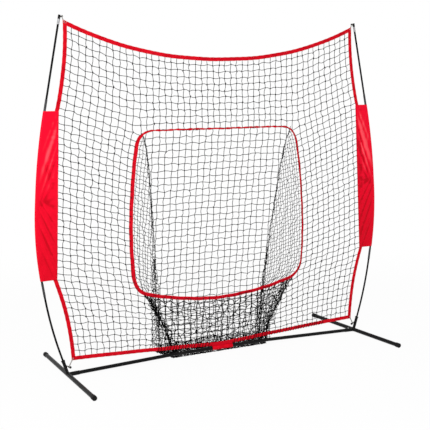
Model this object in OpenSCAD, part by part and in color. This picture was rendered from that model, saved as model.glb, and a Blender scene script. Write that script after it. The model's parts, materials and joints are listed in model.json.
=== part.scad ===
// Freestanding bow-frame practice net: two ground feet joined by a three-piece bar,
// two sprung bow poles, a hemmed square net with side sleeves, and a bag behind
// its bound opening. Millimetres, +Z up, X across, -Y is the throwing side.

/* [Feet] */
// Half the distance between the centre lines of the two feet
foot_x = 1052.5; // [900:0.5:1200]
// Length of each foot tube without its caps
foot_length = 978; // [700:1:1200]
// Outside diameter of the foot tubes
foot_od = 26; // [25.4:0.1:30]
// Outside diameter of the bar stubs
stub_od = 25.4; // [25:0.1:25.4]
// Wall of every steel tube
tube_wall = 1.2; // [0.9:0.1:1.6]
// Angle by which the front of each foot turns outwards
toe_out = 1.3; // [0:0.1:3]
// Wall of the end caps around the foot tubes
cap_wall = 2.2; // [1.6:0.1:3]
// Depth of the flat under each end cap, on which the net stands
cap_flat = 0.4; // [0.2:0.1:0.8]
// Depth to which a foot tube goes into its end cap
cap_depth = 25; // [15:1:40]
// Thickness of the end cap's closed end
cap_end = 3; // [2:0.5:6]
// Length of the bar stub, from the foot's centre line
stub_length = 72; // [60:1:100]

/* [Sockets] */
// Outside diameter of the pole sockets
socket_od = 20; // [18.6:0.1:24]
// Length of a socket, from the foot's centre line
socket_length = 88; // [80:1:120]
// Outward lean of the sockets
socket_lean = 17.8; // [12:0.1:22]
// Diameter of the plastic liner's flange
flange_d = 24; // [22:0.5:28]
// Thickness of the liner's flange
flange_t = 6; // [3:0.5:9]

/* [Crossbar] */
// Height by which the bar's middle piece stands above the feet
bar_rise = 23; // [12:1:40]
// Half the length of the bar's middle piece
bar_mid = 350; // [250:5:450]
// Length of the inner joiner on each side of a bar joint
joiner_half = 80; // [70:1:110]
// Clearance between parts that slide into each other, on the radius
fit = 0.3; // [0.2:0.05:0.35]
// Clearance between a joiner and the bar around it, on the radius
joiner_fit = 0.6; // [0.5:0.05:0.8]
// Clearance between a cap or ferrule and the tube or rod in it, on the radius
snug = 0.15; // [0.1:0.05:0.25]

/* [Snap buttons] */
// Diameter of a snap button
button_d = 7.6; // [6:0.1:8]
// Height by which a button stands out of the outer tube
button_proud = 3; // [2:0.5:4]
// Distance from the foot's centre line to the button in the stub
stub_button = 46; // [40:1:52]
// Distance from a bar joint to the button in the joiner
joint_button = 40; // [34:1:50]
// Width of the V-shaped leaf spring under a button
leaf_w = 6; // [4:0.5:7]
// Thickness of the leaf spring
leaf_t = 0.8; // [0.6:0.1:1]
// Length of the leaf spring beyond the button
leaf_length = 42; // [36:1:44]

/* [Bow poles] */
// Diameter of the glass-fibre rods
rod_d = 12; // [9:0.1:12.5]
// Wall of the metal ferrules
ferrule_wall = 1; // [0.6:0.1:1.4]
// Length of a ferrule
ferrule_length = 80; // [60:1:100]
// Straight length of the first rod, from the foot's centre line
rod_foot = 130; // [120:1:150]
// Curved length of the first rod
bend1 = 380; // [300:1:450]
// Curved length of the second rod
bend2 = 460; // [400:1:520]
// Curved length of the third rod
bend3 = 460; // [400:1:520]
// Height of the tips' pegs above the net's top corners
tip_above = 28; // [24:0.1:60]
// Reduction of a rod's radius where it sits in a ferrule or a socket
spigot = 0.1; // [0.05:0.01:0.2]
// Turn of the first rod
turn1 = 9.2; // [5:0.1:12]
// Turn of the second rod
turn2 = 12.8; // [8:0.1:16]
// Turn of the third rod
turn3 = 7; // [3:0.1:10]
// Outside diameter of the pole's tip cap
tip_d = 15; // [14:0.5:18]
// Length of the tip cap below the rod's end
tip_depth = 20; // [18:1:40]
// Length of the short metal sleeve under the tip cap
tip_ferrule = 32; // [20:1:60]

/* [Net outline] */
// Height of the top corners
net_top_z = 2097; // [2000:1:2300]
// Distance from a pole's centre line to the hem's at the top corners
top_inset = 38.5; // [36:0.1:60]
// Sag of the top hem at its middle
top_sag = 202; // [120:1:260]
// Height of the bottom corners
net_bot_z = 110; // [104:1:112]
// Distance from a pole's centre line to the hem's at the bottom corners
bottom_inset = 68; // [64:0.5:90]
// Distance from a pole's centre line to the hem's at the sleeves' top
sleeve_inset_top = 73; // [60:0.5:90]
// Distance from a pole's centre line to the hem's at the sleeves' foot
sleeve_inset_bot = 83; // [60:0.5:100]
// Height of the sleeves' top edge
sleeve_top_z = 1593; // [1450:1:1650]
// Height of the sleeves' lower edge
sleeve_bot_z = 601; // [560:1:750]
// Inward bow of the side hems above the sleeves
side_bow_top = 17; // [0:1:30]
// Inward bow of the side hems below the sleeves
side_bow_bot = 18; // [0:1:30]

/* [Hem and netting] */
// Width of the red webbing hem
hem_w = 24; // [20:1:30]
// Thickness of one layer of the webbing
webbing_t = 1; // [0.8:0.1:1.5]
// Thickness of the netting
net_t = 3; // [2:0.1:3.5]
// Clearance between the netting and the hem's folds
hem_gap = 0.2; // [0.1:0.05:0.3]
// Width of one netting strand
strand_w = 3; // [2:0.1:5]
// Width of the netting's doubled edge strands
edge_w = 4; // [3:0.5:6]
// Net cells between the side hem and the opening
cells_side = 9; // [5:1:12]
// Net cells across a quarter of the opening
cells_quarter = 6; // [3:1:8]
// Net cells below the opening
cells_low = 8; // [4:1:11]
// Net cells beside the opening
cells_mid = 17; // [8:1:22]
// Net cells above the opening
cells_high = 8; // [4:1:11]

/* [Opening] */
// Half width of the opening at its widest
ring_half = 622; // [560:1:640]
// Height at which the opening is widest
ring_wide_z = 800; // [740:1:860]
// Half width of the opening at its shoulders
ring_shoulder_x = 577; // [550:1:600]
// Height of the opening's shoulders
ring_shoulder_z = 1345; // [1300:1:1370]
// Height of the opening's top edge
ring_top_z = 1463; // [1440:1:1480]
// Half width of the straight top edge
ring_top_x = 455; // [420:1:490]
// Height of the opening's lower edge at its middle
ring_low_z = 371; // [350:1:390]
// Height of the lower edge where the lower corners begin
ring_hip_z = 441; // [425:1:455]
// Half width of the lower edge between its corners
ring_hip_x = 500; // [470:1:520]
// Height at which the lower corners run into the sides
ring_knee_z = 600; // [570:1:620]
// Depth of the binding, front to back
ring_depth = 18.4; // [14:0.2:22]
// Width by which the binding closes in towards its front
ring_close = 11; // [0:1:14]
// Thickness of the binding
ring_t = 6; // [3:0.1:7]

/* [Bag] */
// Half width of the bag's back at the top
bag_top_x = 505; // [480:1:512]
// Height of the back's upper edge
bag_top_z = 1462; // [1450:1:1466]
// Half width of the bag's back at the ground
bag_foot_x = 381; // [350:1:410]
// Depth of the bag's back at the ground
bag_foot_y = 203; // [140:1:240]
// How late the back flares towards its upper edge
bag_flare = 1.4; // [1:0.1:2]
// Half width of the bag's front where it meets the binding
bag_lip_x = 540; // [520:1:545]
// Half width of the bag's front at the ground
bag_front_x = 338; // [320:1:380]
// Depth of the bag's front at the ground
bag_front_y = 30; // [26:1:50]
// How late the front flares towards the binding
bag_front_flare = 1.6; // [1:0.1:2]
// Height of the bag's floor above the ground
bag_lift = 2; // [1:0.5:6]
// Width of the gathered seams of the bag
seam_w = 22; // [14:1:30]
// Thickness of the gathered seams
seam_t = 4; // [3:0.1:4.2]
// Cells across the bag's back
bag_cells_x = 14; // [8:1:20]
// Cells down the bag's back
bag_cells_z = 22; // [10:1:26]
// Cells across the bag's front
bag_cells_front = 12; // [6:1:16]
// Cells down the bag's front
bag_cells_low = 6; // [3:1:8]
// Cells across each side of the bag
bag_cells_side = 3; // [2:1:4]
// Cells down each side of the bag, beside the opening
bag_cells_high = 14; // [8:1:18]

/* [Sleeves and strap] */
// Wall of the sleeve cloth
sleeve_t = 1; // [0.6:0.1:1.4]
// Clearance between a ferrule and the sleeve around it
sleeve_gap = 0.6; // [0.5:0.1:2]
// Width of the strap that ties the hem to the bar
strap_w = 148; // [80:1:160]
// Thickness of the strap
strap_t = 1.4; // [1:0.1:2]
// Length of the strap's loose tab
strap_tab_length = 26; // [16:1:28]

/* [Corner cords] */
// Diameter of the elastic corner cords
cord_d = 3.5; // [3:0.1:4]
// Distance from a pole's centre line to the upper cord's place on the tip's peg
tip_peg_seat = 17.8; // [17:0.1:22]
// Place of the lower cord's peg on its socket, from the foot's centre line
cord_peg_seat = 65; // [60:1:72]
// Angle below the horizontal at which that peg points inwards
cord_peg_dip = 29; // [20:1:34]
// Diameter of the ball on each lower cord
ball_d = 15; // [13:0.5:17]

/* [Hidden] */
$fn = 64;

left = [-1, 1, 1];
right = [1, 1, 1];
big = 400;

// feet and bar
foot_r = foot_od / 2;
cap_r = foot_r + snug + cap_wall;
foot_z = cap_r - cap_flat;
stub_r = stub_od / 2;
bar_r = stub_r - tube_wall - fit;
bar_bore = bar_r - tube_wall;
joiner_r = bar_bore - joiner_fit;
joiner_bore = joiner_r - tube_wall;
bar_mid_z = foot_z + bar_rise;
bar_slope = atan(bar_rise / (foot_x - bar_mid));
socket_bore = socket_od / 2 - tube_wall;
liner_gap = 0.2;
liner_start = foot_r + 8;
liner_overlap = 1;

// snap buttons
button_r = button_d / 2;
button_hole = button_r + fit;
button_lip = 0.7;
button_flange_r = button_hole + button_lip;
button_flange_t = 1.2;
button_dome = 1.6;
seat_gap = 0.2;
leaf_gap = 0.4;
leaf_tip = 5;
leaf_head = 6;
leaf_foot = 8;

// poles
rod_r = rod_d / 2;
rod_start = foot_r + fit;
ferrule_r = rod_r + snug + ferrule_wall;
half_ferrule = ferrule_length / 2;
pole_segments = [
  [rod_foot, 0], [bend1, turn1], [ferrule_length, 0], [bend2, turn2],
  [ferrule_length, 0], [bend3, turn3], [ferrule_length, 0]
];

// hem, netting and binding
hem_t = net_t + 2 * hem_gap + 2 * webbing_t;
slot_t = net_t + 2 * hem_gap;
hem_half = hem_w / 2;
hem_rest = 0.8;
hem_mid_z = bar_mid_z + bar_r + hem_rest + hem_half;
hem_end_gap = 0.3;
top_power = 2.2;
bottom_power = 1.2;
hem_steps = 16;
ring_steps = 16;
ring_gap = 0.8;
ring_back_y = 1.4;
ring_lean = atan2(ring_close, ring_depth);
ring_rear_y = ring_back_y + ring_t * sin(ring_lean);

// ---- plane helpers -------------------------------------------------------
function lerp(a, b, t) = a + (b - a) * t;
function unit(v) = v / norm(v);
function back_to_front(list) = [for (i = [len(list) - 1:-1:0]) list[i]];
function tangent(p, i) = unit(p[min(i + 1, len(p) - 1)] - p[max(i - 1, 0)]);
function offset_path(p, d) =
  [for (i = [0:len(p) - 1]) let (t = tangent(p, i)) p[i] + d * [-t[1], t[0]]];
function band(p, a, b) = concat(offset_path(p, a), back_to_front(offset_path(p, b)));
function bezier(a, b, c, t) = (1 - t) * (1 - t) * a + 2 * t * (1 - t) * b + t * t * c;

// A flat outline in X and Z, given a thickness along Y around the net's plane
module upright(y0, thickness) {
  translate([0, y0 + thickness, 0])
    rotate([90, 0, 0])
      linear_extrude(thickness) children();
}

// ---- bar ------------------------------------------------------------------
// The middle piece is level, and the outer pieces slope down to the feet
module middle_rod(r, length) {
  translate([0, 0, bar_mid_z])
    rotate([0, 90, 0])
      cylinder(r = r, h = length, center = true, $fn = 96);
}

// Along the right outer piece, from distance s0 to s1 of the bar's joint
module outer_rod(r, s0, s1) {
  translate([bar_mid, 0, bar_mid_z])
    rotate([0, 90 + bar_slope, 0])
      translate([0, 0, s0])
        cylinder(r = r, h = s1 - s0, $fn = 96);
}

// A joiner is bent, so that it lies in both pieces; it cuts the corner by half its rise
joiner_radius = joiner_half / tan(bar_slope / 2);
joiner_rise = joiner_radius * (1 / cos(bar_slope / 2) - 1);

module joiner_rod(r, over) {
  spread = over / joiner_radius * 180 / PI;
  translate([bar_mid - joiner_half, 0, bar_mid_z - joiner_radius + joiner_rise / 2])
    rotate([90, 0, 0])
      rotate([0, 0, 90 - bar_slope - spread])
        rotate_extrude(angle = bar_slope + 2 * spread, $fn = 1800)
          translate([joiner_radius, 0])
            circle(r, $fn = 64);
}

// Places its children on the bar's centre line, square to the bar
module on_bar(x) {
  outside = max(0, abs(x) - bar_mid);
  translate([x, 0, bar_mid_z - outside * tan(bar_slope)])
    rotate([0, outside > 0 ? sign(x) * bar_slope : 0, 0])
      children();
}

stub_button_x = foot_x - stub_button;
joint_button_x = bar_mid - joint_button;

module button_holes(r) {
  for (x = [-stub_button_x, -joint_button_x, joint_button_x, stub_button_x])
    on_bar(x) cylinder(r = r, h = 3 * foot_r);
}

// ---- feet -----------------------------------------------------------------
module foot_rod(r, length) {
  translate([foot_x, 0, foot_z])
    rotate([0, 0, toe_out])
      rotate([90, 0, 0])
        cylinder(r = r, h = length, center = true, $fn = 96);
}

module stub_rod(r, s0, s1) {
  translate([foot_x, 0, foot_z])
    rotate([0, bar_slope - 90, 0])
      translate([0, 0, s0])
        cylinder(r = r, h = s1 - s0, $fn = 96);
}

module socket_frame() {
  translate([foot_x, 0, foot_z]) rotate([0, socket_lean, 0]) children();
}

module foot(side) {
  color("#1b1b1d")
    scale(side)
      difference() {
        foot_rod(foot_r, foot_length);
        foot_rod(foot_r - tube_wall, foot_length + 2);
      }
}

module stub(side) {
  color("#1b1b1d")
    scale(side)
      difference() {
        stub_rod(stub_r, 0, stub_length);
        stub_rod(bar_r + fit, 0, stub_length + 1);
        foot_rod(foot_r, foot_length);
        button_holes(button_hole);
      }
}

module socket(side) {
  color("#1b1b1d")
    scale(side)
      difference() {
        socket_frame() cylinder(d = socket_od, h = socket_length);
        socket_frame() translate([0, 0, -1]) cylinder(r = socket_bore, h = socket_length + 2);
        foot_rod(foot_r, foot_length);
        stub_rod(stub_r, 0, stub_length);
      }
}

module liner(side) {
  color("#0f0f10")
    scale(side)
      socket_frame()
        difference() {
          union() {
            translate([0, 0, liner_start])
              cylinder(r = socket_bore - liner_gap,
                       h = socket_length - liner_start + liner_overlap);
            translate([0, 0, socket_length]) cylinder(d = flange_d, h = flange_t);
          }
          cylinder(r = rod_r + fit, h = socket_length + flange_t + 1);
        }
}

module foot_caps(side) {
  color("#111112")
    scale(side)
      for (end = [-1, 1])
        difference() {
          intersection() {
            foot_rod(cap_r, foot_length + 2 * cap_end);
            end_block(end, foot_length / 2 - cap_depth, foot_length / 2 + 2 * cap_end);
          }
          foot_rod(foot_r + snug, foot_length);
          translate([foot_x - big / 2, -big * 2, -cap_r]) cube([big, 4 * big, cap_r]);
        }
}

// A block around one end of a foot, from distance s0 to s1 along it
module end_block(end, s0, s1) {
  translate([foot_x, 0, foot_z])
    rotate([0, 0, toe_out])
      translate([0, end * (s0 + s1) / 2, 0])
        cube([3 * cap_r, s1 - s0, 3 * cap_r], center = true);
}

// ---- bar pieces -------------------------------------------------------------
outer_start = fit + bar_r * tan(bar_slope);
outer_end = (foot_x - bar_mid) / cos(bar_slope) - foot_r - fit;

module bar_outer(side) {
  color("#1b1b1d")
    scale(side)
      difference() {
        outer_rod(bar_r, outer_start, outer_end);
        outer_rod(bar_bore, outer_start - 1, outer_end + 1);
        button_holes(button_hole);
      }
}

module bar_centre() {
  color("#1b1b1d")
    difference() {
      middle_rod(bar_r, 2 * bar_mid);
      middle_rod(bar_bore, 2 * bar_mid + 2);
      button_holes(button_hole);
    }
}

module joiner(side) {
  color("#9a9a9c")
    scale(side)
      difference() {
        joiner_rod(joiner_r, 0);
        joiner_rod(joiner_bore, 2);
        button_holes(button_hole);
      }
}

// Height of the flat inside a bore at half width w
function chord(bore, w) = sqrt(bore * bore - w * w);

// A round-headed button; bore is the tube it is held in, shell the outermost tube
module button(x, bore, shell) {
  seat = chord(bore, button_flange_r) - seat_gap;
  dome_z = shell + button_proud - button_dome;
  color("#c9c9cc")
    on_bar(x) {
      translate([0, 0, seat - button_flange_t]) cylinder(r = button_flange_r, h = button_flange_t);
      translate([0, 0, seat]) cylinder(r = button_r, h = dome_z - seat);
      translate([0, 0, dome_z])
        cylinder(r1 = button_r, r2 = button_r - button_dome, h = button_dome);
    }
}

// The V-shaped leaf: its lower leg lies in the tube, its upper leg bears on the button
module leaf(x, bore, way) {
  top = chord(bore, button_flange_r) - seat_gap - button_flange_t;
  low = -chord(bore, leaf_w / 2) + leaf_gap;
  bend = leaf_length;
  color("#b9b9bd")
    on_bar(x)
      scale([way, 1, 1])
        upright(-leaf_w / 2, leaf_w)
          polygon([
            [-leaf_tip, top], [leaf_head, top], [bend, low + 2 * leaf_t], [bend, low],
            [-leaf_foot, low], [-leaf_foot, low + leaf_t], [bend - 3 * leaf_t, low + leaf_t],
            [leaf_head, top - leaf_t], [-leaf_tip, top - leaf_t]
          ]);
}

// ---- bow poles --------------------------------------------------------------
// Position and angle from upright at the start of segment i
function turned(a, length, turn) =
  turn == 0 ? length * [sin(a), cos(a)]
  : let (k = turn * PI / 180 / length)
    [(cos(a - turn) - cos(a)) / k, (sin(a) - sin(a - turn)) / k];
function pole_angle(i) = i == 0 ? socket_lean : pole_angle(i - 1) - pole_segments[i - 1][1];
function pole_point(i) =
  i == 0 ? [foot_x, foot_z]
  : pole_point(i - 1)
    + turned(pole_angle(i - 1), pole_segments[i - 1][0], pole_segments[i - 1][1]);

// The top rod is straight and carries the peg above the net's corner
peg_drop = 12;
top_start = pole_point(7);
top_lean = pole_angle(7);
rod_top = peg_drop + (net_top_z + tip_above - top_start[1]) / cos(top_lean);

pole_steps = 8;
// The pole's centre line as [height, distance from the middle]
pole_line = concat(
  [
    for (i = [0:len(pole_segments) - 1])
      for (n = [0:pole_steps - 1])
        let (
          f = n / pole_steps,
          length = max(0.001, f * pole_segments[i][0]),
          p = pole_point(i) + turned(pole_angle(i), length, f * pole_segments[i][1])
        )
        [p[1], p[0]]
  ],
  [for (s = [0, rod_top]) [top_start[1] + s * cos(top_lean), top_start[0] + s * sin(top_lean)]]
);
function pole_x(z) = lookup(z, pole_line);
net_top_x = pole_x(net_top_z) - top_inset;
net_bot_x = pole_x(net_bot_z) - bottom_inset;
sleeve_top_x = pole_x(sleeve_top_z) - sleeve_inset_top;
sleeve_bot_x = pole_x(sleeve_bot_z) - sleeve_inset_bot;

module pole_straight(i, s0, s1, r) {
  p = pole_point(i);
  translate([p[0], 0, p[1]])
    rotate([0, pole_angle(i), 0])
      translate([0, 0, s0])
        cylinder(r = r, h = s1 - s0);
}

module pole_bend(i, r) {
  p = pole_point(i);
  a = pole_angle(i);
  turn = pole_segments[i][1];
  radius = pole_segments[i][0] / (turn * PI / 180);
  translate([p[0] - radius * cos(a), 0, p[1] + radius * sin(a)])
    rotate([90, 0, 0])
      rotate([0, 0, -a])
        rotate_extrude(angle = turn, $fn = 720)
          translate([radius, 0])
            circle(r, $fn = 64);
}

// Rods are numbered upwards. Each of the lower three bends between two straight, slightly
// thinner ends that reach into the bend by a few millimetres; the top rod is straight.
spigot_r = rod_r - spigot;
spigot_reach = 4;
rod_end_gap = 0.15;

module rod(side, n) {
  color("#141415")
    scale(side)
      union() {
        if (n == 1) pole_straight(0, rod_start, rod_foot + spigot_reach, spigot_r);
        if (n == 2 || n == 3)
          pole_straight(2 * n - 2, half_ferrule + rod_end_gap, ferrule_length + spigot_reach,
                        spigot_r);
        if (n < 4) pole_bend(2 * n - 1, rod_r);
        if (n < 4) pole_straight(2 * n, -spigot_reach, half_ferrule - rod_end_gap, spigot_r);
        if (n == 4) pole_straight(6, half_ferrule + rod_end_gap, ferrule_length + 1, spigot_r);
        if (n == 4) pole_straight(7, 0, rod_top, rod_r);
      }
}

// Three ferrules join the rods, and a short one sits under the tip cap
tip_foot = rod_top - tip_depth - fit;

module ferrules(side) {
  color("#8d8d90")
    scale(side)
      for (i = [2, 4, 6])
        difference() {
          pole_straight(i, 0, ferrule_length, ferrule_r);
          pole_straight(i, -1, ferrule_length + 1, rod_r + snug);
        }
  color("#8d8d90")
    scale(side)
      difference() {
        pole_straight(7, tip_foot - tip_ferrule, tip_foot, ferrule_r);
        pole_straight(7, 0, rod_top, rod_r + snug);
      }
}

// ---- net outline ------------------------------------------------------------
function top_z(x) = net_top_z - top_sag * (1 - pow(abs(x) / net_top_x, top_power));
function bottom_z(x) =
  net_bot_z - (net_bot_z - hem_mid_z) * pow(max(0, 1 - abs(x) / net_bot_x), bottom_power);
function side_leg(z, z0, z1, x0, x1, bow) =
  let (u = (z - z0) / (z1 - z0)) lerp(x0, x1, u) - 4 * bow * u * (1 - u);
function side_x(z) =
  z > sleeve_top_z
    ? side_leg(z, sleeve_top_z, net_top_z, sleeve_top_x, net_top_x, side_bow_top)
  : z < sleeve_bot_z
    ? side_leg(z, net_bot_z, sleeve_bot_z, net_bot_x, sleeve_bot_x, side_bow_bot)
  : lerp(sleeve_bot_x, sleeve_top_x, (z - sleeve_bot_z) / (sleeve_top_z - sleeve_bot_z));

tab_out = 12;
tab_in = 8;
eye_out = 3;
top_end = net_top_x + tab_out;
bottom_end = net_bot_x + tab_out;
function top_curve(x1) =
  [for (i = [-hem_steps:hem_steps]) let (x = x1 * i / hem_steps) [x, top_z(x)]];
function bottom_curve(x1) =
  [for (i = [-hem_steps:hem_steps]) let (x = x1 * i / hem_steps) [x, bottom_z(x)]];
top_path = top_curve(top_end);
bottom_path = bottom_curve(bottom_end);
top_hole = [net_top_x + eye_out, top_z(net_top_x + eye_out)];
bottom_hole = [net_bot_x + eye_out, net_bot_z];
side_heights = concat(
  [for (i = [-1:hem_steps / 2 - 1]) lerp(net_bot_z, sleeve_bot_z, i * 2 / hem_steps)],
  [for (i = [0:1]) lerp(sleeve_bot_z, sleeve_top_z, i)],
  [for (i = [1:hem_steps / 2 + 1]) lerp(sleeve_top_z, net_top_z, i * 2 / hem_steps)]
);
side_path = [for (z = side_heights) [side_x(min(max(z, net_bot_z), net_top_z)), z]];

// Webbing folded over the netting's edge; inward is +1 where the net lies to the left
module folded(path, inward) {
  difference() {
    upright(-hem_t / 2, hem_t) polygon(band(path, hem_half, -hem_half));
    upright(-slot_t / 2, slot_t)
      polygon(band(path, inward * (hem_half + 1), -inward * (hem_half - 2 * webbing_t)));
  }
}

// Everything between x0 and x1
module between(x0, x1) {
  translate([x0, -big / 2, 0]) cube([x1 - x0, big, net_top_z + big]);
}

module hem_top() {
  color("#e2122b")
    intersection() {
      folded(top_path, -1);
      between(-net_top_x + tab_in, net_top_x - tab_in);
    }
}

module hem_bottom() {
  color("#e2122b")
    intersection() {
      folded(bottom_path, 1);
      between(-net_bot_x + tab_in, net_bot_x - tab_in);
    }
}

// The side hem ends just short of the top and bottom hems
module hem_side(side) {
  over = offset_path(top_curve(top_end + hem_w), -hem_half - hem_end_gap);
  under = offset_path(bottom_curve(bottom_end + hem_w), hem_half + hem_end_gap);
  color("#e2122b")
    scale(side)
      difference() {
        folded(side_path, 1);
        upright(-hem_t, 2 * hem_t)
          polygon(concat(over, [[top_end + big, net_top_z + big], [-top_end, net_top_z + big]]));
        upright(-hem_t, 2 * hem_t)
          polygon(concat(under, [[bottom_end + big, -big], [-bottom_end, -big]]));
      }
}

// The corner tabs carry on the top and bottom hems and have an eye for the corner cord
module corner_tabs() {
  color("#c80f22")
    for (side = [left, right])
      scale(side) {
        difference() {
          intersection() {
            folded(top_path, -1);
            between(net_top_x - tab_in + hem_end_gap, top_end + hem_w);
          }
          eye(top_hole);
        }
        difference() {
          intersection() {
            folded(bottom_path, 1);
            between(net_bot_x - tab_in + hem_end_gap, bottom_end + hem_w);
          }
          eye(bottom_hole);
        }
      }
}

eye_r = 4;

module eye(p) {
  translate([p[0], 0, p[1]])
    rotate([90, 0, 0])
      cylinder(r = eye_r, h = 2 * hem_t, center = true);
}

// ---- bound opening ----------------------------------------------------------
ring_corner_share = -0.3;
ring_foot_in = 4;
ring_foot_up = 21;
ring_corner = [lerp(ring_shoulder_x, ring_half, ring_corner_share), ring_top_z];
ring_knee_x = ring_side_at(ring_knee_z);
ring_foot = [ring_knee_x - ring_foot_in, ring_hip_z + ring_foot_up];
function ring_side_at(z) =
  ring_half - (ring_half - ring_shoulder_x)
  * pow((z - ring_wide_z) / (ring_shoulder_z - ring_wide_z), 2);
function ring_low_at(x) = ring_low_z + (ring_hip_z - ring_low_z) * pow(x / ring_hip_x, 2);
ring_top_bend = function(t)
  bezier([ring_top_x, ring_top_z], ring_corner, [ring_shoulder_x, ring_shoulder_z], t);
ring_low_bend = function(t)
  bezier([ring_knee_x, ring_knee_z], ring_foot, [ring_hip_x, ring_hip_z], t);
ring_crest = ring_top_bend(0.5);
ring_heel = ring_low_bend(0.5);

// The opening's right side, from its upper to its lower corner, and its two half edges
ring_side_line = concat(
  [for (n = [ring_steps / 2:ring_steps]) ring_top_bend(n / ring_steps)],
  [for (n = [1:ring_steps]) let (z = lerp(ring_shoulder_z, ring_knee_z, n / ring_steps))
      [ring_side_at(z), z]],
  [for (n = [1:ring_steps / 2]) ring_low_bend(n / ring_steps)]
);
ring_top_line = concat(
  [[0, ring_top_z]],
  [for (n = [0:ring_steps / 2]) ring_top_bend(n / ring_steps)]
);
ring_low_line = concat(
  [for (n = [0:ring_steps]) let (x = ring_hip_x * n / ring_steps) [x, ring_low_at(x)]],
  [for (n = [ring_steps - 1:-1:ring_steps / 2]) ring_low_bend(n / ring_steps)]
);
function flip(p) = [for (q = p) [q[1], q[0]]];
function ring_x(z) = lookup(z, flip(ring_side_line));
function ring_top_at(x) = lookup(abs(x), ring_top_line);
function ring_bottom_at(x) = lookup(abs(x), ring_low_line);

// Columns and rows of the net's grid: side, opening, side; low, middle, high
cells_open = 4 * cells_quarter;
row_low_z = 600;
row_high_z = 1610;
function col_open(i, half) = lerp(-half, half, i / cells_open);
function side_row(j) =
  j <= cells_low ? lerp(net_bot_z, row_low_z, j / cells_low)
  : j <= cells_low + cells_mid ? lerp(row_low_z, row_high_z, (j - cells_low) / cells_mid)
  : lerp(row_high_z, net_top_z, (j - cells_low - cells_mid) / cells_high);
function side_knot(j) = let (z = side_row(j)) [side_x(z), z];
function ring_side_knot(k) =
  let (z = lerp(ring_heel[1], ring_crest[1], k / cells_mid)) [ring_x(z), z];
function top_knot(x) = [x, top_z(x)];
function bottom_knot(x) = [x, bottom_z(x)];

// Coons patch: low, high, near and far are the four edges as functions of 0 to 1
function patch(low, high, near, far, u, v) =
  lerp(low(u), high(u), v) + lerp(near(v), far(v), u)
  - lerp(lerp(low(0), low(1), u), lerp(high(0), high(1), u), v);

function straight(a, b) = function(t) lerp(a, b, t);
high_row = straight(ring_crest, side_knot(cells_low + cells_mid));
low_row = straight(ring_heel, side_knot(cells_low));
crest_column = straight(ring_crest, top_knot(ring_crest[0]));
heel_column = straight(bottom_knot(ring_heel[0]), ring_heel);
side_part = function(j0, n) function(t) side_knot(j0 + n * t);

patch_side = function(u, v)
  patch(low_row, high_row, function(t) ring_side_knot(t * cells_mid),
        side_part(cells_low, cells_mid), u, v);
patch_high = function(u, v)
  patch(high_row, function(t) top_knot(lerp(ring_crest[0], net_top_x, t)),
        crest_column, side_part(cells_low + cells_mid, cells_high), u, v);
patch_low = function(u, v)
  patch(function(t) bottom_knot(lerp(ring_heel[0], net_bot_x, t)), low_row,
        heel_column, side_part(0, cells_low), u, v);
patch_over = function(u, v)
  let (x = lerp(-ring_crest[0], ring_crest[0], u))
  lerp([x, ring_top_at(x)], top_knot(x), v);
patch_under = function(u, v)
  let (x = lerp(-ring_heel[0], ring_heel[0], u))
  lerp(bottom_knot(x), [x, ring_bottom_at(x)], v);

// Netting over a patch from column u0 to u1: nu by nv cells, edge = [near, far, low, high]
// strand shares at the four sides. Its outline follows the patch's own edges.
module netting(fn, u0, u1, nu, nv, edge) {
  fine = 3;
  at = function(a, b) fn(lerp(u0, u1, a), b);
  rim = concat(
    [for (i = [0:nu * fine - 1]) at(i / (nu * fine), 0)],
    [for (j = [0:nv * fine - 1]) at(1, j / (nv * fine))],
    [for (i = [nu * fine:-1:1]) at(i / (nu * fine), 1)],
    [for (j = [nv * fine:-1:1]) at(0, j / (nv * fine))]
  );
  holes = [
    for (i = [0:nu - 1]) for (j = [0:nv - 1])
      let (
        a = at(i / nu, j / nv),
        b = at((i + 1) / nu, j / nv),
        c = at((i + 1) / nu, (j + 1) / nv),
        d = at(i / nu, (j + 1) / nv),
        w = norm(b - a + c - d) / 2,
        h = norm(d - a + c - b) / 2,
        l = (i == 0 ? edge[0] : strand_w / 2) / w,
        r = 1 - (i == nu - 1 ? edge[1] : strand_w / 2) / w,
        s = (j == 0 ? edge[2] : strand_w / 2) / h,
        t = 1 - (j == nv - 1 ? edge[3] : strand_w / 2) / h,
        q = function(x, y) lerp(lerp(a, b, x), lerp(d, c, x), y)
      )
      each [q(l, s), q(r, s), q(r, t), q(l, t)]
  ];
  first = len(rim);
  polygon(
    concat(rim, holes),
    concat([[for (k = [0:first - 1]) k]],
           [for (k = [0:nu * nv - 1]) [for (m = [0:3]) first + 4 * k + m]])
  );
}

half_strand = strand_w / 2;
// Share of a panel by which its neighbour in the same netting starts later
knot_gap = 0.0003;

module net_flat() {
  color("#161616") upright(-net_t / 2, net_t) children();
}

// The rows beside the opening come in three panels, so that each follows the opening's curve
side_rows = [0, round(cells_mid * 0.36), round(cells_mid * 0.65), cells_mid];

module net_side(side) {
  for (n = [0:2]) {
    v0 = side_rows[n] / cells_mid + (n > 0 ? knot_gap : 0);
    v1 = side_rows[n + 1] / cells_mid;
    scale(side)
      net_flat()
        netting(function(u, v) patch_side(u, lerp(v0, v1, v)), 0, 1,
                cells_side, side_rows[n + 1] - side_rows[n],
                [edge_w, edge_w, half_strand, half_strand]);
  }
}

module net_top() {
  for (side = [left, right])
    scale(side)
      net_flat()
        netting(patch_high, knot_gap, 1, cells_side, cells_high,
                [half_strand, edge_w, half_strand, edge_w]);
  for (q = [0:3])
    net_flat()
      netting(patch_over, q / 4 + knot_gap, (q + 1) / 4, cells_quarter, cells_high,
              [half_strand, half_strand, edge_w, edge_w]);
}

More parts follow.
